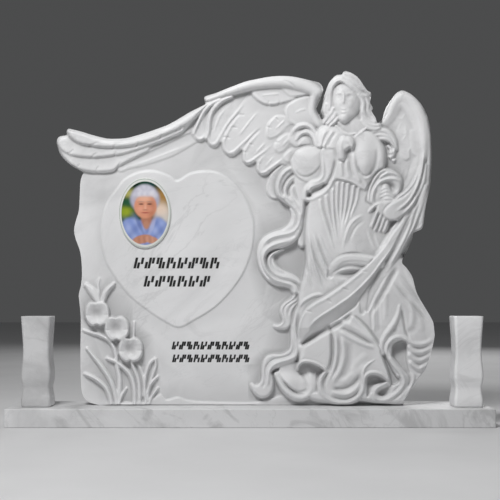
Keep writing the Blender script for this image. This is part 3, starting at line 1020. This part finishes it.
def ribbon_feet(c):
    # The strand round the long feather's tip, and its two feet
    c.panel([(331, 291.6), (320, 291.4), (311, 293.4), (303.2, 297.6), (297.2, 304), (293.6, 311),
             (291.6, 320), (290.2, 330),
             (289.8, 346), (286.4, 351.4), (280, 353.8), (272, 354), (266, 356.4), (262.6, 361.6),
             (261.2, 368),
             (261.2, 377), (259.4, 382.6), (255.6, 384.4), (251.6, 382.6), (250, 385.6), (251.6, 391),
             (256, 396),
             (262, 398.6), (268, 397), (272.6, 392), (274.6, 384), (273.4, 376), (272.4, 372),
             (276, 369.4), (284, 366.6),
             (292, 363.6), (298, 359), (300.4, 352), (300.6, 343), (298.6, 334), (298, 326), (299.6, 318),
             (303, 311),
             (309, 304.6), (317, 300), (330, 296)], 7.4, 3.2)
    for path, width, height in (
            ([(291.6, 322), (291.2, 332), (291.2, 345), (287.6, 352), (280, 355), (271, 355.8),
              (265.4, 359.2), (263, 366),
              (262.8, 376), (260.8, 383), (256, 385.6)], 1.5, 1.1),
            ([(292.8, 326), (293.4, 338), (293.6, 348), (290.4, 354.4), (283, 357.6), (274, 359.4),
              (268, 364), (265.6, 371),
              (265.4, 381), (262, 389)], 1.7, -1.8),
            ([(326, 294.6), (316, 295), (308, 298.4), (301.2, 303.8), (297, 311.4), (295.4, 320),
              (295, 330), (295.8, 340),
              (297.2, 349), (295.2, 356), (288.6, 359.6), (280, 362), (272.6, 366), (269, 372), (268, 380),
              (267, 388)], 2.6, 2.2)):
        c.fold(path, width, height, fade=0.06)


def lower_drapery(c):
    left_cup(c)
    second_hem(c)
    front_cloth(c)
    scroll(c)
    hood(c)
    far_falls(c)


def left_cup(c):
    # The sheet under the bell, and the bell's round wall
    c.panel([(298, 362), (288, 367), (276, 371), (273, 375), (277, 383), (284, 392), (292, 399),
             (300, 401.6), (308, 401),
             (314, 397), (317, 390), (318, 372), (306, 358)], 6.4, 3.0)
    c.panel([(303, 343), (312, 335), (320, 330), (330, 325), (334, 345), (333, 362), (330, 374),
             (322, 367.4),
             (314, 363.6), (306, 361.6), (300.6, 363), (297.4, 369), (298.2, 360), (300.4, 352)], 14.2,
             5.0, base=7.5,
            fillet=1.0, over=1.0)
    # The inside, dark under the lip and rising to the hem
    c.panel([(282, 362), (291, 360), (299, 361), (306, 361), (313, 363), (320, 366.6), (324.6, 370.4),
             (321, 377),
             (318.6, 384), (318.2, 392), (314, 394), (306, 395), (297, 393), (288, 387), (281, 378),
             (278, 370)],
            lambda X, Y: 3.6 + 5.4 * smooth((Y - 368) / 17) + 2.0 * smooth((301 - X) / 12), 1.0, base=5,
            fillet=1.0,
            over=1.6)
    c.bead([(297.6, 369.4), (298.8, 364.8), (303, 361.6), (309, 361.4), (315.6, 363.2), (322, 366.6),
            (328, 371.6)],
           [1.2, 2.0, 2.2, 2.2, 2.2, 2.2, 2], [12.6, 15.2, 16, 16, 15.8, 15.6, 14.4], base=10, fillet=1.0,
           over=0.6)
    tube = [(275.6, 373.6), (279.6, 381.6), (284.6, 389), (291, 394.8), (297.4, 397.6), (303.6, 397.4),
            (308.6, 394.4),
            (311.6, 389), (312, 382.6), (310.6, 376), (308, 370)]
    crest = np.array([7, 8.8, 9.8, 10.6, 11, 11, 10.8, 10.4, 9.6, 7.8, 5])
    c.bead(tube, [2, 3, 3.4, 3.6, 3.7, 3.7, 3.7, 3.8, 4, 4.6, 5.4], crest, base=crest - 6, fillet=1.4)
    c.fold([(299.6, 370), (303.4, 376.6), (306.4, 383), (307, 389)], 2.2, -1.2, fade=0.25)
    c.fold([(283, 380), (289, 387), (297, 391.4), (303.6, 391.4), (307.6, 387.6)], 2.0, -1.6, fade=0.2)


def second_hem(c):
    hem = [(326.4, 371.2), (322, 376.6), (320, 383), (320.8, 390), (324.8, 396), (331, 400.4),
           (339, 402.6), (348, 402.4),
           (355, 399.8), (360, 395.4), (362.8, 389.4), (363.6, 382), (363, 374.6), (364.6, 368.4),
           (369, 363.4),
           (375, 359.8)]
    crest = np.array([13.6, 13.4, 13, 12.8, 12.4, 12, 11.8, 12, 12.6, 13.2, 14, 14.8, 15.4, 15.6, 15.2,
                      14.2])
    for path, width, height in (
            ([(331.4, 329), (332.2, 342), (332.2, 354), (330.8, 363), (327.6, 372), (324.6, 380),
              (324, 387), (328, 394.6)],
             3, -2.5),
            ([(335.4, 331), (336.6, 345), (336.4, 356), (334.4, 367), (330, 378), (327.4, 385)], 2.6, 1.6),
            ([(339, 334), (340, 346), (339.4, 357), (337, 368), (332.6, 378)], 2.4, -1.3),
            ([(341.4, 333), (344, 348), (343.6, 358), (341, 367.6), (336, 377), (329, 386.6)], 4.3, 2.1),
            ([(348.6, 340), (350.4, 354), (348.6, 366), (344, 376), (339, 382)], 5.5, -1.1),
            ([(369, 364), (358, 372), (346, 380), (337, 385)], 6.4, 1.3),
            ([(330.6, 388.4), (338, 389), (347, 387.6), (355, 382.4), (361, 374)], 3.4, -2.2),
            ([(330, 391), (338, 394), (347, 394.4), (355, 390), (360.4, 382)], 3.2, 1.8),
            ([(330, 396), (338, 398.8), (347, 399), (355, 395.4), (360, 388.6)], 2.3, -1.9)):
        c.fold(path, width, height, fade=0.18, fade_end=0.22)
    c.bead(hem, [2, 2.6, 3, 3.1, 3.1, 3.1, 3.1, 3.1, 3.1, 3, 2.8, 2.5, 2.2, 1.9, 1.5, 0.9], crest,
           base=crest - 6,
           fillet=1.2)
    c.panel([(315.8, 368), (319.4, 368.4), (323.4, 370.8), (319.6, 376.6), (317.4, 383), (317.4, 390),
             (317, 396),
             (315.8, 391), (315.8, 383), (315.6, 376)], 3.6, 0.8, base=3.6, over=1.6)


def front_cloth(c):
    edge = [(350, 315.6), (358, 320.2), (364.6, 326.4), (370.4, 333.4), (375.4, 340.6), (378.6, 346.6),
            (380.6, 352),
            (384, 361), (387, 369), (389.4, 377), (390, 383)]
    c.lap(edge[::-1], [6, 8, 9, 9, 8], 3.4, fade=0.05)
    c.fold([(353, 315), (360, 319.6), (366.6, 326), (372.2, 333), (377.2, 340.4), (380.6, 347)], 1.8, -1.3,
           fade=0.1)
    c.fold([(380, 350), (384.4, 358), (388.4, 366), (391.6, 374), (392.4, 381)], [2, 3.4, 3.6, 3, 2],
           [-1.6, -4, -4.4, -3, -1.6],
           fade=0.12)
    for path, width, height in (
            ([(338, 319), (346, 323), (354, 327.4), (362, 332.4), (370, 338.4), (376, 344.6)], 4.4, 1.9),
            ([(339, 326.6), (346, 330), (354, 334), (362, 338.6), (369, 342.6), (375, 346.6)], 2.7, -2.0),
            ([(338, 330.4), (346, 335.2), (354, 339.6), (362, 343.2), (369, 346), (376, 348.6)], 3.6, 2.0),
            ([(352, 372), (358, 362), (368, 353)], 5, 0.8),
            ([(374, 303), (374.2, 318), (374.2, 334)], 2.2, 1.2), ([(370.6, 310), (371, 321),
                                                                    (371.6, 330)], 1.6, -0.9),
            ([(379, 300), (378.6, 316), (379.4, 334)], 2.4, -0.7), ([(386, 290), (385.6, 306), (385, 322)],
                                                                    3.6, 0.9)):
        c.fold(path, width, height, fade=0.15, fade_end=0.2)
    # The third opening under its lip
    c.panel([(366.4, 381), (367.4, 376.4), (372, 374.4), (379, 375.6), (385.4, 379.6), (388, 382.6),
             (380, 384),
             (374.6, 386), (371.6, 389.6), (370, 395), (366.6, 398), (366.4, 388)],
            lambda X, Y: 2.8 + 4.2 * smooth((Y - 379) / 11), 0.8, base=4, over=1.4)
    c.bead([(364.6, 380.6), (366, 375.8), (369.6, 373), (375, 372.4), (381, 374), (386, 377.6),
            (389.4, 382.4)],
           [1.6, 2.0, 2.1, 2.1, 2.1, 1.9, 1.4], [15, 15.8, 16.2, 16.2, 15.8, 15, 13.6], base=10, fillet=1.0)


def scroll(c):
    c.panel([(371, 388), (376, 384.6), (384, 383), (390, 384), (397, 378), (404, 372), (406, 380),
             (404, 389),
             (397, 397), (389, 401.6), (381, 402.4), (374, 399.4), (371, 394)], 9.0, 2.4, base=5,
             fillet=0.8, over=1.0)
    c.panel([(378, 395), (378.8, 391), (383.6, 388), (390, 385), (398, 380), (399, 386), (392, 392),
             (384.4, 396.6)],
            lambda X, Y: 3.4 + 7 * smooth((X - 381) / 15), 0.8, base=4, over=1.2)
    c.panel([(381.6, 353), (386, 359), (390, 366.6), (395.4, 374), (400, 380), (397, 385), (391, 385.4),
             (389.4, 379),
             (387, 371), (383.6, 362)], lambda X, Y: 12.4 - 7 * smooth((Y - 354) / 26), 0.8, base=7,
             over=1.6)
    roll = [(388.8, 381.8), (382.4, 385), (376.8, 388.4), (374.2, 392.4), (375.2, 396.8), (380, 400),
            (386.6, 399.6), (393, 396),
            (399, 391), (403.4, 385), (403.8, 379), (400.8, 373), (395.8, 367), (391.2, 360.4),
            (388.2, 353.6), (387.4, 347)]
    crest = np.array([12, 12.6, 12.8, 12.6, 12.4, 12.4, 12.6, 12.8, 13.2, 13.6, 14, 14.4, 14.8, 15, 15.2,
                      15])
    c.bead(roll, [1.6, 2.4, 2.8, 3, 3, 3, 3, 3, 3, 3.1, 3.3, 3.6, 3.8, 3.9, 3.6, 2.6], crest, base=7,
           fillet=1.0,
           over=0.7)
    for path, width, height in (
            ([(383, 354), (386.6, 362), (391, 369.6), (396.6, 376.4)], 2.2, -2.4),
            ([(402, 367), (407.6, 373), (410, 380), (408, 388)], 2.2, -2.6),
            ([(412.6, 372), (413.6, 379.6), (410.6, 388), (405, 397)], 2.0, 1.3),
            ([(416, 374.6), (416.2, 380), (412.6, 387)], 1.4, -1.0),
            ([(397, 400.4), (403, 395), (407.6, 388.6)], 1.6, 0.8)):
        c.fold(path, width, height, fade=0.15)


def hood(c):
    # The fourth opening under its hood
    c.panel([(391.4, 352), (391.8, 346), (395, 342.2), (400, 340), (406, 340.4), (407.6, 348),
             (407.2, 358), (408.8, 366),
             (410.6, 372.6), (407, 374.6), (401.6, 369), (395.6, 361.6), (391.8, 356.4)],
            lambda X, Y: 3.6 + 4.4 * smooth((Y - 348) / 24), 0.8, base=4, over=1.5)
    c.bead([(383, 354), (381.4, 348), (382.6, 341), (386, 334.6), (390.6, 328.4), (395, 321.8),
            (398.4, 313.6),
            (399.6, 306)], [1.6, 2.8, 3.4, 3.8, 3.8, 3.4, 2.8, 1.8], [14.6, 15.4, 16, 16.4, 16.4, 16, 15,
                                                                      13.8],
           base=10, fillet=2.4)
    c.dent(395.4, 330.6, 4.6, 5, 0.8)
    c.bead([(388, 357), (386.6, 350.4), (388, 344), (392.4, 339.2), (398, 337), (403.6, 338.2), (408, 343)],
           [1.8, 2.4, 2.7, 2.8, 2.7, 2.5, 1.8], [14.4, 15.4, 16.2, 16.4, 16.2, 15.2, 13.6], base=9.5,
           fillet=1.2,
           over=0.8)
    c.fold([(401.4, 309), (403.4, 318), (404.8, 327), (407, 335), (411, 341)], 2.0, -2.4, fade=0.15)
    c.dent(411, 331, 8, 5, 1.1, turn=-25)


def far_falls(c):
    for path, width, height in (
            ([(406.6, 295), (411.4, 306), (412.6, 316), (411.4, 325), (408.4, 331)], 3.2, 1.7),
            ([(393, 280.6), (401, 291), (411, 302.4), (421, 313.6), (431, 326)], 1.7, -1.7),
            ([(397, 277), (405, 287.4), (413, 297.4), (421, 307.6), (429, 318.6)], 2.6, 1.6),
            ([(391.6, 284), (399, 294.4), (408, 305), (418, 316), (427, 326.4)], 2.4, 1.0),
            ([(400, 272.6), (408, 283), (416, 295), (424, 307)], 1.6, -1.1),
            ([(404, 268.6), (411, 280), (417, 291.4)], 2.2, 1.1),
            ([(419, 318), (421.4, 326), (418, 333)], 3.6, 1.0)):
        c.fold(path, width * 1.25, height * 0.7, fade=0.2, fade_end=0.3)
    # The crescents at the far side
    for k in range(4):
        y, x0, x1 = 336 + 8.2 * k, 405 + 1.3 * k, 434 - 1.6 * k
        middle = 0.5 * (x0 + x1)
        arc = [(x0, y - 1), (x0 + 3.4, y + 3.8), (x0 + 8, y + 7.4), (middle + 1, y + 8.4),
               (x1 - 7, y + 6.8),
               (x1 - 2.4, y + 3.6), (x1 + 1, y)]
        c.fold(arc, 4.1, 2.5, fade=0.15, fade_end=0.4)
        c.fold([(u + 0.6, v + 4.1) for u, v in arc], 3, -0.9, fade=0.2, fade_end=0.5)


def flower(c, x, y):
    # A shallow bowl with a lobed rim, seen from the front
    lobes = [(-12.6, -2), (-11.4, -7.4), (-8.6, -11), (-5.4, -12.3), (-1.6, -11.2), (0.8, -11.8),
             (4, -12.6),
             (8.2, -11), (11.6, -6.4), (12.6, -0.4), (11.8, 5.6), (8.8, 10), (4.4, 12.2), (1.2, 12.2),
             (-0.6, 11),
             (-2.6, 12.4), (-5.8, 12.2), (-9.6, 9.4), (-12.2, 4.4)]
    c.panel([(x + u, y + v) for u, v in lobes], lambda X, Y: 8.0 + 0.02 * (Y - y), 0.9, base=4.0, over=0.8)
    c.dent(x - 0.2, y - 0.2, 13.0, 12.8, 6.4)
    for a, b, depth in (((-12.4, 1.4), (-5.4, 2), -1.3), ((12.4, 0.6), (5.6, 1.4), -1.3), ((-1, -11.4),
                                                                                           (-0.6, -6),
                                                                                           -0.8),
                        ((-0.6, 12), (-0.2, 7), -0.9), ((-9, -9), (-6, -6.6), -0.4), ((8.6, 9.6), (6, 6.4),
                                                                                      -0.4)):
        c.fold([(x + a[0], y + a[1]), (x + b[0], y + b[1])], 1.3, depth, fade=0, fade_end=0.4)
    c.fold([(x - 9.6, y + 3.4), (x - 6, y + 7.6), (x - 1.4, y + 8)], 1.8, 0.7, fade=0.25)
    c.fold([(x + 1.2, y + 8), (x + 6, y + 7.4), (x + 9.8, y + 3)], 1.8, 0.7, fade=0.25)


def flowers(c):
    for path, width, top in (
            ([(86.8, 285.6), (91, 289.6), (95.6, 296), (98.6, 303)], [3.0, 4.7, 4.6, 3.0], [4, 5.4, 5.4,
                                                                                            4.4]),
            ([(99.6, 278.6), (98.2, 285), (99.2, 294)], [1, 1.1, 1.3], [2, 2.4, 2.8]),
            ([(113.6, 284), (108.4, 289), (104.6, 295), (102.6, 303)], [1.8, 2.9, 3.1, 2.6], [4.4, 5.6,
                                                                                              5.6, 4.6]),
            ([(134.5, 322), (134.2, 330), (133.6, 338)], [1, 1.2, 1.4], [3, 3.6, 4]),
            ([(83.4, 330.4), (92, 333), (100, 335.4), (108, 340), (113, 346), (116, 355), (117, 366),
              (119.6, 378),
              (119, 394), (118, 404)], [1.4, 1.6, 1.8, 2, 2.2, 2.2, 2.4, 2.6, 2.8, 2.8], [2.6, 4, 4.6, 4.8,
                                                                                          4.8, 4.6, 4.2, 4,
                                                                                          3.6, 3]),
            ([(87, 348.6), (93, 356), (100, 364.6), (107, 374.4), (112, 384), (115, 394), (117, 404)],
             [1.4, 2, 2.5, 2.6, 2.6, 2.6, 2.4], [4.4, 5.6, 6, 6, 5.6, 5, 4]),
            ([(85, 374), (93, 377.4), (100, 382), (106, 388), (109.6, 396), (111.6, 404)], [1.6, 2.2, 2.5,
                                                                                            2.5, 2.5, 2.3],
             [4.4, 5.6, 6, 5.8, 5, 4]),
            ([(107, 358.4), (114, 361), (122, 366.4), (129, 373.4), (133, 382), (134.6, 392), (134.6, 404)],
             [1.5, 2, 2.4, 2.6, 2.6, 2.6, 2.6], [4.4, 5.4, 6, 6, 5.6, 5, 4]),
            ([(131, 361), (135, 371), (138.6, 381), (139.6, 392), (139.6, 404)], [1.6, 1.8, 2, 2.2, 2.2],
             [4, 4.4, 4.4, 4, 3.4]),
            ([(138, 364), (142, 373), (144, 384), (143.6, 396)], [1, 1.4, 1.6, 1.6], [3, 3.6, 3.6, 3]),
            ([(155, 358.6), (150, 363), (146.8, 371), (145, 381), (145, 392), (146, 404)], [1.3, 1.5, 1.5,
                                                                                            1.5, 1.6, 1.6],
             [4, 4.8, 5, 5, 4.4, 3.6]),
            ([(155.6, 359), (156, 365.6), (153.6, 373), (150.6, 381), (148.4, 389), (148, 400)], [1.2, 1.2,
                                                                                                  1.2, 1.3,
                                                                                                  1.4, 1.5],
             [4, 4, 4, 4.2, 4, 3.4]),
            ([(158, 376.4), (153.4, 380.6), (149.8, 386), (148, 393)], [1.1, 1.4, 1.5, 1.5], [3.6, 4.6,
                                                                                              4.8, 4.4]),
            ([(158, 388), (154.6, 392.4), (151.4, 397.6), (149, 404)], [1.1, 1.4, 1.5, 1.5], [3.6, 4.4,
                                                                                              4.4, 4]),
            ([(126.6, 388), (123, 393.4), (120.4, 399.4), (119, 404)], [1, 1.3, 1.4, 1.4], [3.4, 4.2, 4.2,
                                                                                            4])):
        c.bead(path, width, top, base=0.0, fillet=0.8)
    for x, y in ((97.2, 313.8), (116.8, 328.6), (130.6, 349.6)):
        flower(c, x, y)
    for rib in ([(88, 287), (93, 293), (97, 300)], [(90.6, 287), (95.4, 293), (98.6, 299)], [(112, 286.4),
                                                                                             (106.6, 293),
                                                                                             (104, 299)]):
        c.fold(rib, 1.1, -0.7, fade=0.2)
    # The mound they grow from
    c.fold([(104, 404), (125, 405), (150, 404)], 5, 1.2, fade=0.1)


def ground(c):
    low = [(118, 405), (124, 402.6), (136, 402), (148, 401.4), (153, 398), (160, 394), (163, 396),
           (167, 399.5),
           (178, 397), (188, 400), (205, 401.6), (250, 402.4), (262, 400), (272, 398), (282, 395.4),
           (292, 400)]
    c.panel(low + [(310, 399), (320, 401), (404, 399), (412, 402), (412, 420), (110, 420)], 2.0, 1.4)


def carve(step):
    c = Carving(52, 66, 440, 406, step)
    c.panel(HEART, HEART_HEIGHT, 1.8)
    ground(c)
    left_wing(c)
    right_wing(c)
    skirt(c)
    outer_feathers(c)
    knee_roll(c)
    lower_drapery(c)
    ribbons(c)
    long_feather(c)
    bodice(c)
    arms(c)
    far_arm(c)
    hand(c)
    rounded_feather(c)
    head(c)
    flowers(c)
    return c


def place(x, y, h):
    """Drawn points in metres. The pull towards the eye line keeps high points where they are seen."""
    near = 1 - np.asarray(h) / EYE_UNITS
    eye = FOOT_Y - EYE_Y
    return np.column_stack([(np.asarray(x) - MIDDLE_X) * UNIT * near,
                            GROUND_PLANE - np.asarray(h) * UNIT,
                            SEAT + (eye + (EYE_Y - np.asarray(y)) * near) * UNIT])


def thinned(path, tolerance):
    """Leaves out the path's points that lie within the tolerance of the line past them."""
    half = len(path) // 2
    keep = np.zeros(len(path), bool)
    keep[[0, half, -1]] = True
    stack = [(0, half), (half, len(path) - 1)]
    while stack:
        a, b = stack.pop()
        if b - a < 2:
            continue
        d = path[b] - path[a]
        length = max(np.hypot(*d), 1e-9)
        away = np.abs((path[a + 1:b, 0] - path[a, 0]) * d[1] - (path[a + 1:b, 1] - path[a,
                                                                                        1]) * d[0]) / length
        k = int(np.argmax(away))
        if away[k] > tolerance or length > 26:
            if away[k] <= tolerance:
                k = (b - a) // 2 - 1
            keep[a + 1 + k] = True
            stack += [(a, a + 1 + k), (a + 1 + k, b)]
    return path[keep]


def heights_at(carving, h, x, y):
    col = np.clip((np.asarray(x) - carving.x[0]) / carving.step, 0, len(carving.x) - 1.001)
    row = np.clip((np.asarray(y) - carving.y[0]) / carving.step, 0, len(carving.y) - 1.001)
    c, r = col.astype(int), row.astype(int)
    u, v = col - c, row - r
    return ((h[r, c] * (1 - u) + h[r, c + 1] * u) * (1 - v) + (h[r + 1, c] * (1 - u) + h[r + 1,
                                                                                         c + 1] * u) * v)


def simplified(carving, h, triangles):
    """The height map as a mesh of about so many triangles: its points and edges."""
    rows, cols = h.shape
    X, Y = np.meshgrid(carving.x, carving.y)
    mesh = bpy.data.meshes.new("height_map")
    co = np.column_stack([X.ravel(), -Y.ravel(), h.ravel()])
    k = np.arange(rows * cols).reshape(rows, cols)
    quads = np.stack([k[:-1, :-1], k[1:, :-1], k[1:, 1:], k[:-1, 1:]], axis=-1).reshape(-1, 4)
    mesh.vertices.add(len(co))
    mesh.vertices.foreach_set("co", co.ravel())
    mesh.loops.add(quads.size)
    mesh.loops.foreach_set("vertex_index", quads.ravel())
    mesh.polygons.add(len(quads))
    mesh.polygons.foreach_set("loop_start", np.arange(0, quads.size, 4))
    mesh.update(calc_edges=True)
    guide = bpy.data.objects.new("height_map", mesh)
    bpy.context.collection.objects.link(guide)
    collapse = guide.modifiers.new("collapse", "DECIMATE")
    collapse.ratio = triangles / (2 * len(quads))
    collapse.use_collapse_triangulate = True
    result = guide.evaluated_get(bpy.context.evaluated_depsgraph_get()).to_mesh()
    points = np.zeros(len(result.vertices) * 3)
    result.vertices.foreach_get("co", points)
    edges = np.zeros(len(result.edges) * 2, int)
    result.edges.foreach_get("vertices", edges)
    bpy.data.objects.remove(guide, do_unlink=True)
    bpy.data.meshes.remove(mesh)
    points = points.reshape(-1, 3)
    points[:, 1] *= -1
    return points, edges.reshape(-1, 2)


def carved_stone(name, mat):
    """The headstone: the carving in front, straight sides and a flat back."""
    carving = carve(CARVE_STEP)
    h = blurred(carving.h, SOFTEN / CARVE_STEP)
    loop = thinned(spline(OUTLINE, spacing=1.2), OUTLINE_TOLERANCE)
    points, edges = simplified(carving, h, FRONT_TRIANGLES)

    # Keep what lies well inside the outline
    ring = np.vstack([loop, loop[:1]])
    inside = np.zeros(len(points), bool)
    for p, q in zip(ring, ring[1:]):
        hit = (p[1] > points[:, 1]) != (q[1] > points[:, 1])
        cross = p[0] + (points[:, 1] - p[1]) / (q[1] - p[1] if q[1] != p[1] else 1) * (q[0] - p[0])
        inside ^= hit & (points[:, 0] < cross)
    for p, q in zip(ring, ring[1:]):
        d = q - p
        t = np.clip(((points[:, :2] - p) @ d) / (d @ d), 0, 1)
        inside &= np.hypot(*(points[:, :2] - p - t[:, None] * d).T) > 1.1
    index = np.cumsum(inside) - 1
    points = points[inside]
    edges = index[edges[inside[edges].all(axis=1)]]

    n = len(loop)
    flat = [tuple(p) for p in loop] + [tuple(p[:2]) for p in points]
    border = [(i, (i + 1) % n) for i in range(n)]
    links = border + [(a + n, b + n) for a, b in edges]
    verts, _, faces, origins, _, _ = delaunay_2d_cdt(flat, links, [], 0, 1e-6)
    xy = np.array(verts, float)
    tops = heights_at(carving, h, xy[:, 0], xy[:, 1])
    came = np.full(len(xy), -1)
    for i, source in enumerate(origins):
        if source:
            came[i] = min(source)
    inner = came >= n
    tops[inner] = points[came[inner] - n, 2]
    tri = np.array(faces)
    middle = xy[tri].mean(axis=1)
    within = np.zeros(len(tri), bool)
    for p, q in zip(ring, ring[1:]):
        hit = (p[1] > middle[:, 1]) != (q[1] > middle[:, 1])
        cross = p[0] + (middle[:, 1] - p[1]) / (q[1] - p[1] if q[1] != p[1] else 1) * (q[0] - p[0])
        within ^= hit & (middle[:, 0] < cross)
    tri = tri[within]
    used = np.unique(tri)
    lookup = np.full(len(xy), -1)
    lookup[used] = np.arange(len(used))
    tri = lookup[tri]
    xy, tops, came = xy[used], np.maximum(tops[used], 0.05), came[used]

    front = place(xy[:, 0], xy[:, 1], tops)
    # The foot is cut flat just above the plinth
    foot = xy[:, 1] > FOOT_Y - 0.01
    front[foot, 2] = SEAT
    bm = bmesh.new()
    top_verts = [bm.verts.new(p) for p in front]
    for a, b, c in tri:
        bm.faces.new((top_verts[a], top_verts[b], top_verts[c]))
    bm.verts.index_update()
    rim = [e for e in bm.edges if len(e.link_faces) == 1]
    back_y = GROUND_PLANE + STONE_THICKNESS
    back = {}
    for e in rim:
        for v in e.verts:
            if v not in back:
                back[v] = bm.verts.new((v.co.x, back_y, v.co.z))
    for e in rim:
        face = e.link_faces[0]
        a, b = e.verts
        order = list(face.verts)
        if order[(order.index(a) + 1) % 3] != b:
            a, b = b, a
        bm.faces.new((b, a, back[a]))
        bm.faces.new((b, back[a], back[b]))
    start = rim[0].verts[0]
    chain = [start]
    links_of = {}
    for e in rim:
        for v in e.verts:
            links_of.setdefault(v, []).append(e.other_vert(v))
    while True:
        nxt = [v for v in links_of[chain[-1]] if len(chain) < 2 or v != chain[-2]][0]
        if nxt == start:
            break
        chain.append(nxt)
    flat_back = [(v.co.x, v.co.z) for v in chain]
    k = len(chain)
    loop_edges = [(i, (i + 1) % k) for i in range(k)]
    _, _, back_faces, sources, _, _ = delaunay_2d_cdt(flat_back, loop_edges, [], 1, 1e-9)
    for f in back_faces:
        bm.faces.new([back[chain[sources[i][0]]] for i in f])
    bmesh.ops.recalc_face_normals(bm, faces=bm.faces)
    return made(name, bm, mat, sharp=math.radians(50))


def made(name, bm, material, sharp=None, location=(0, 0, 0)):
    mesh = bpy.data.meshes.new(name)
    bm.to_mesh(mesh)
    bm.free()
    mesh.materials.append(material)
    if sharp is not None:
        mesh.shade_smooth()
        mesh.set_sharp_from_angle(angle=sharp)
    obj = bpy.data.objects.new(name, mesh)
    obj.location = location
    bpy.context.collection.objects.link(obj)
    return obj


def material(name, colour, roughness):
    mat = bpy.data.materials.new(name)
    mat.use_nodes = True
    shader = mat.node_tree.nodes["Principled BSDF"]
    shader.inputs["Base Color"].default_value = (*colour, 1)
    shader.inputs["Roughness"].default_value = roughness
    shader.inputs["Metallic"].default_value = 0.0
    return mat


def slab(name, size, mat):
    bm = bmesh.new()
    bmesh.ops.create_cube(bm, size=1)
    bmesh.ops.scale(bm, vec=size, verts=bm.verts)
    bmesh.ops.translate(bm, vec=(0, 0, size[2] / 2), verts=bm.verts)
    obj = made(name, bm, mat)
    bevel = obj.modifiers.new("edges", "BEVEL")
    bevel.width = PLINTH_EDGE
    bevel.segments = 1
    return obj


# Each place up a vase and its breadth there, as shares of the height and of the side
VASE_PROFILE = [(0.0, 0.985), (0.08, 0.992), (0.15, 0.925), (0.212, 0.893), (0.262, 0.945), (0.321, 0.997),
                (0.417, 0.975), (0.53, 0.905), (0.64, 0.884), (0.76, 0.910), (0.89, 0.965), (1.0, 1.0)]
CORNER_STEPS = 5
SIDE_STEPS = 2


def rounded_square(side, corner):
    """Points round a square with rounded corners, starting at its +X side."""
    points = []
    half = side / 2
    for k in range(4):
        turn = math.pi / 2 * k
        c, s = math.cos(turn), math.sin(turn)
        local = [(half, (half - corner) * (2 * j / SIDE_STEPS - 1)) for j in range(SIDE_STEPS)]
        for j in range(CORNER_STEPS):
            a = math.pi / 2 * j / (CORNER_STEPS - 1)
            local.append((half - corner + corner * math.cos(a), half - corner + corner * math.sin(a)))
        points += [(x * c - y * s, x * s + y * c) for x, y in local]
    clean = [points[0]]
    for p in points[1:]:
        if math.dist(p, clean[-1]) > 1e-6:
            clean.append(p)
    return clean


def vase(name, x, mat):
    """A square, waisted vase with a round bore from the top."""
    section = rounded_square(1.0, VASE_CORNER / VASE_SIDE)
    bm = bmesh.new()
    rings = []
    for up, scale in VASE_PROFILE:
        side = VASE_SIDE * scale
        rings.append([bm.verts.new((p * side, q * side, up * VASE_HEIGHT)) for p, q in section])
    count = len(section)
    for z in (VASE_HEIGHT, VASE_HEIGHT - VASE_BORE_DEPTH):
        ring = []
        for i in range(count):
            a = 2 * math.pi * (i - SIDE_STEPS / 2) / count
            ring.append(bm.verts.new((VASE_BORE_RADIUS * math.cos(a), VASE_BORE_RADIUS * math.sin(a), z)))
        rings.append(ring)
    for low, high in zip(rings, rings[1:]):
        for i in range(count):
            j = (i + 1) % count
            bm.faces.new((low[i], low[j], high[j], high[i]))
    bm.faces.new(list(reversed(rings[0])))
    bm.faces.new(rings[-1])
    bmesh.ops.recalc_face_normals(bm, faces=bm.faces)
    y = PLINTH_FRONT + VASE_SETBACK + VASE_SIDE / 2
    return made(name, bm, mat, sharp=math.radians(40), location=(x, y, SEAT))


PLAQUE_SEGMENTS = 48


def oval_plaque(name, mat):
    """A low oval dome with an upright edge, standing on the heart's face."""
    bm = bmesh.new()
    rings = []
    for share, out in ((1.0, 0.0), (1.0, 0.7 * PLAQUE_EDGE), (0.985, PLAQUE_EDGE),
                       (0.88, PLAQUE_EDGE + 0.2 * PLAQUE_DOME),
                       (0.6, PLAQUE_EDGE + 0.65 * PLAQUE_DOME), (0.3, PLAQUE_EDGE + 0.92 * PLAQUE_DOME)):
        ring = []
        for i in range(PLAQUE_SEGMENTS):
            a = 2 * math.pi * i / PLAQUE_SEGMENTS
            ring.append(bm.verts.new((PLAQUE_HALF_WIDTH * share * math.cos(a), -out,
                                      PLAQUE_HALF_HEIGHT * share * math.sin(a))))
        rings.append(ring)
    for low, high in zip(rings, rings[1:]):
        for i in range(PLAQUE_SEGMENTS):
            j = (i + 1) % PLAQUE_SEGMENTS
            bm.faces.new((low[i], low[j], high[j], high[i]))
    bm.faces.new(list(reversed(rings[0])))
    crown = bm.verts.new((0, -PLAQUE_EDGE - PLAQUE_DOME, 0))
    for i in range(PLAQUE_SEGMENTS):
        bm.faces.new((rings[-1][i], rings[-1][(i + 1) % PLAQUE_SEGMENTS], crown))
    bmesh.ops.recalc_face_normals(bm, faces=bm.faces)
    centre = place([PLAQUE_X], [PLAQUE_Y], [HEART_HEIGHT])[0]
    return made(name, bm, mat, sharp=math.radians(50), location=(centre[0], centre[1] - GAP, centre[2]))


marble = material("marble", MARBLE, 0.42)
porcelain = material("porcelain", PORCELAIN, 0.12)
slab("plinth", (PLINTH_WIDTH, PLINTH_DEPTH, PLINTH_HEIGHT), marble)
carved_stone("headstone", marble)
vase("vase_left", -PLINTH_WIDTH / 2 + VASE_LEFT_MARGIN + VASE_SIDE / 2, marble)
vase("vase_right", PLINTH_WIDTH / 2 - VASE_RIGHT_MARGIN - VASE_SIDE / 2, marble)
oval_plaque("portrait_medallion", porcelain)
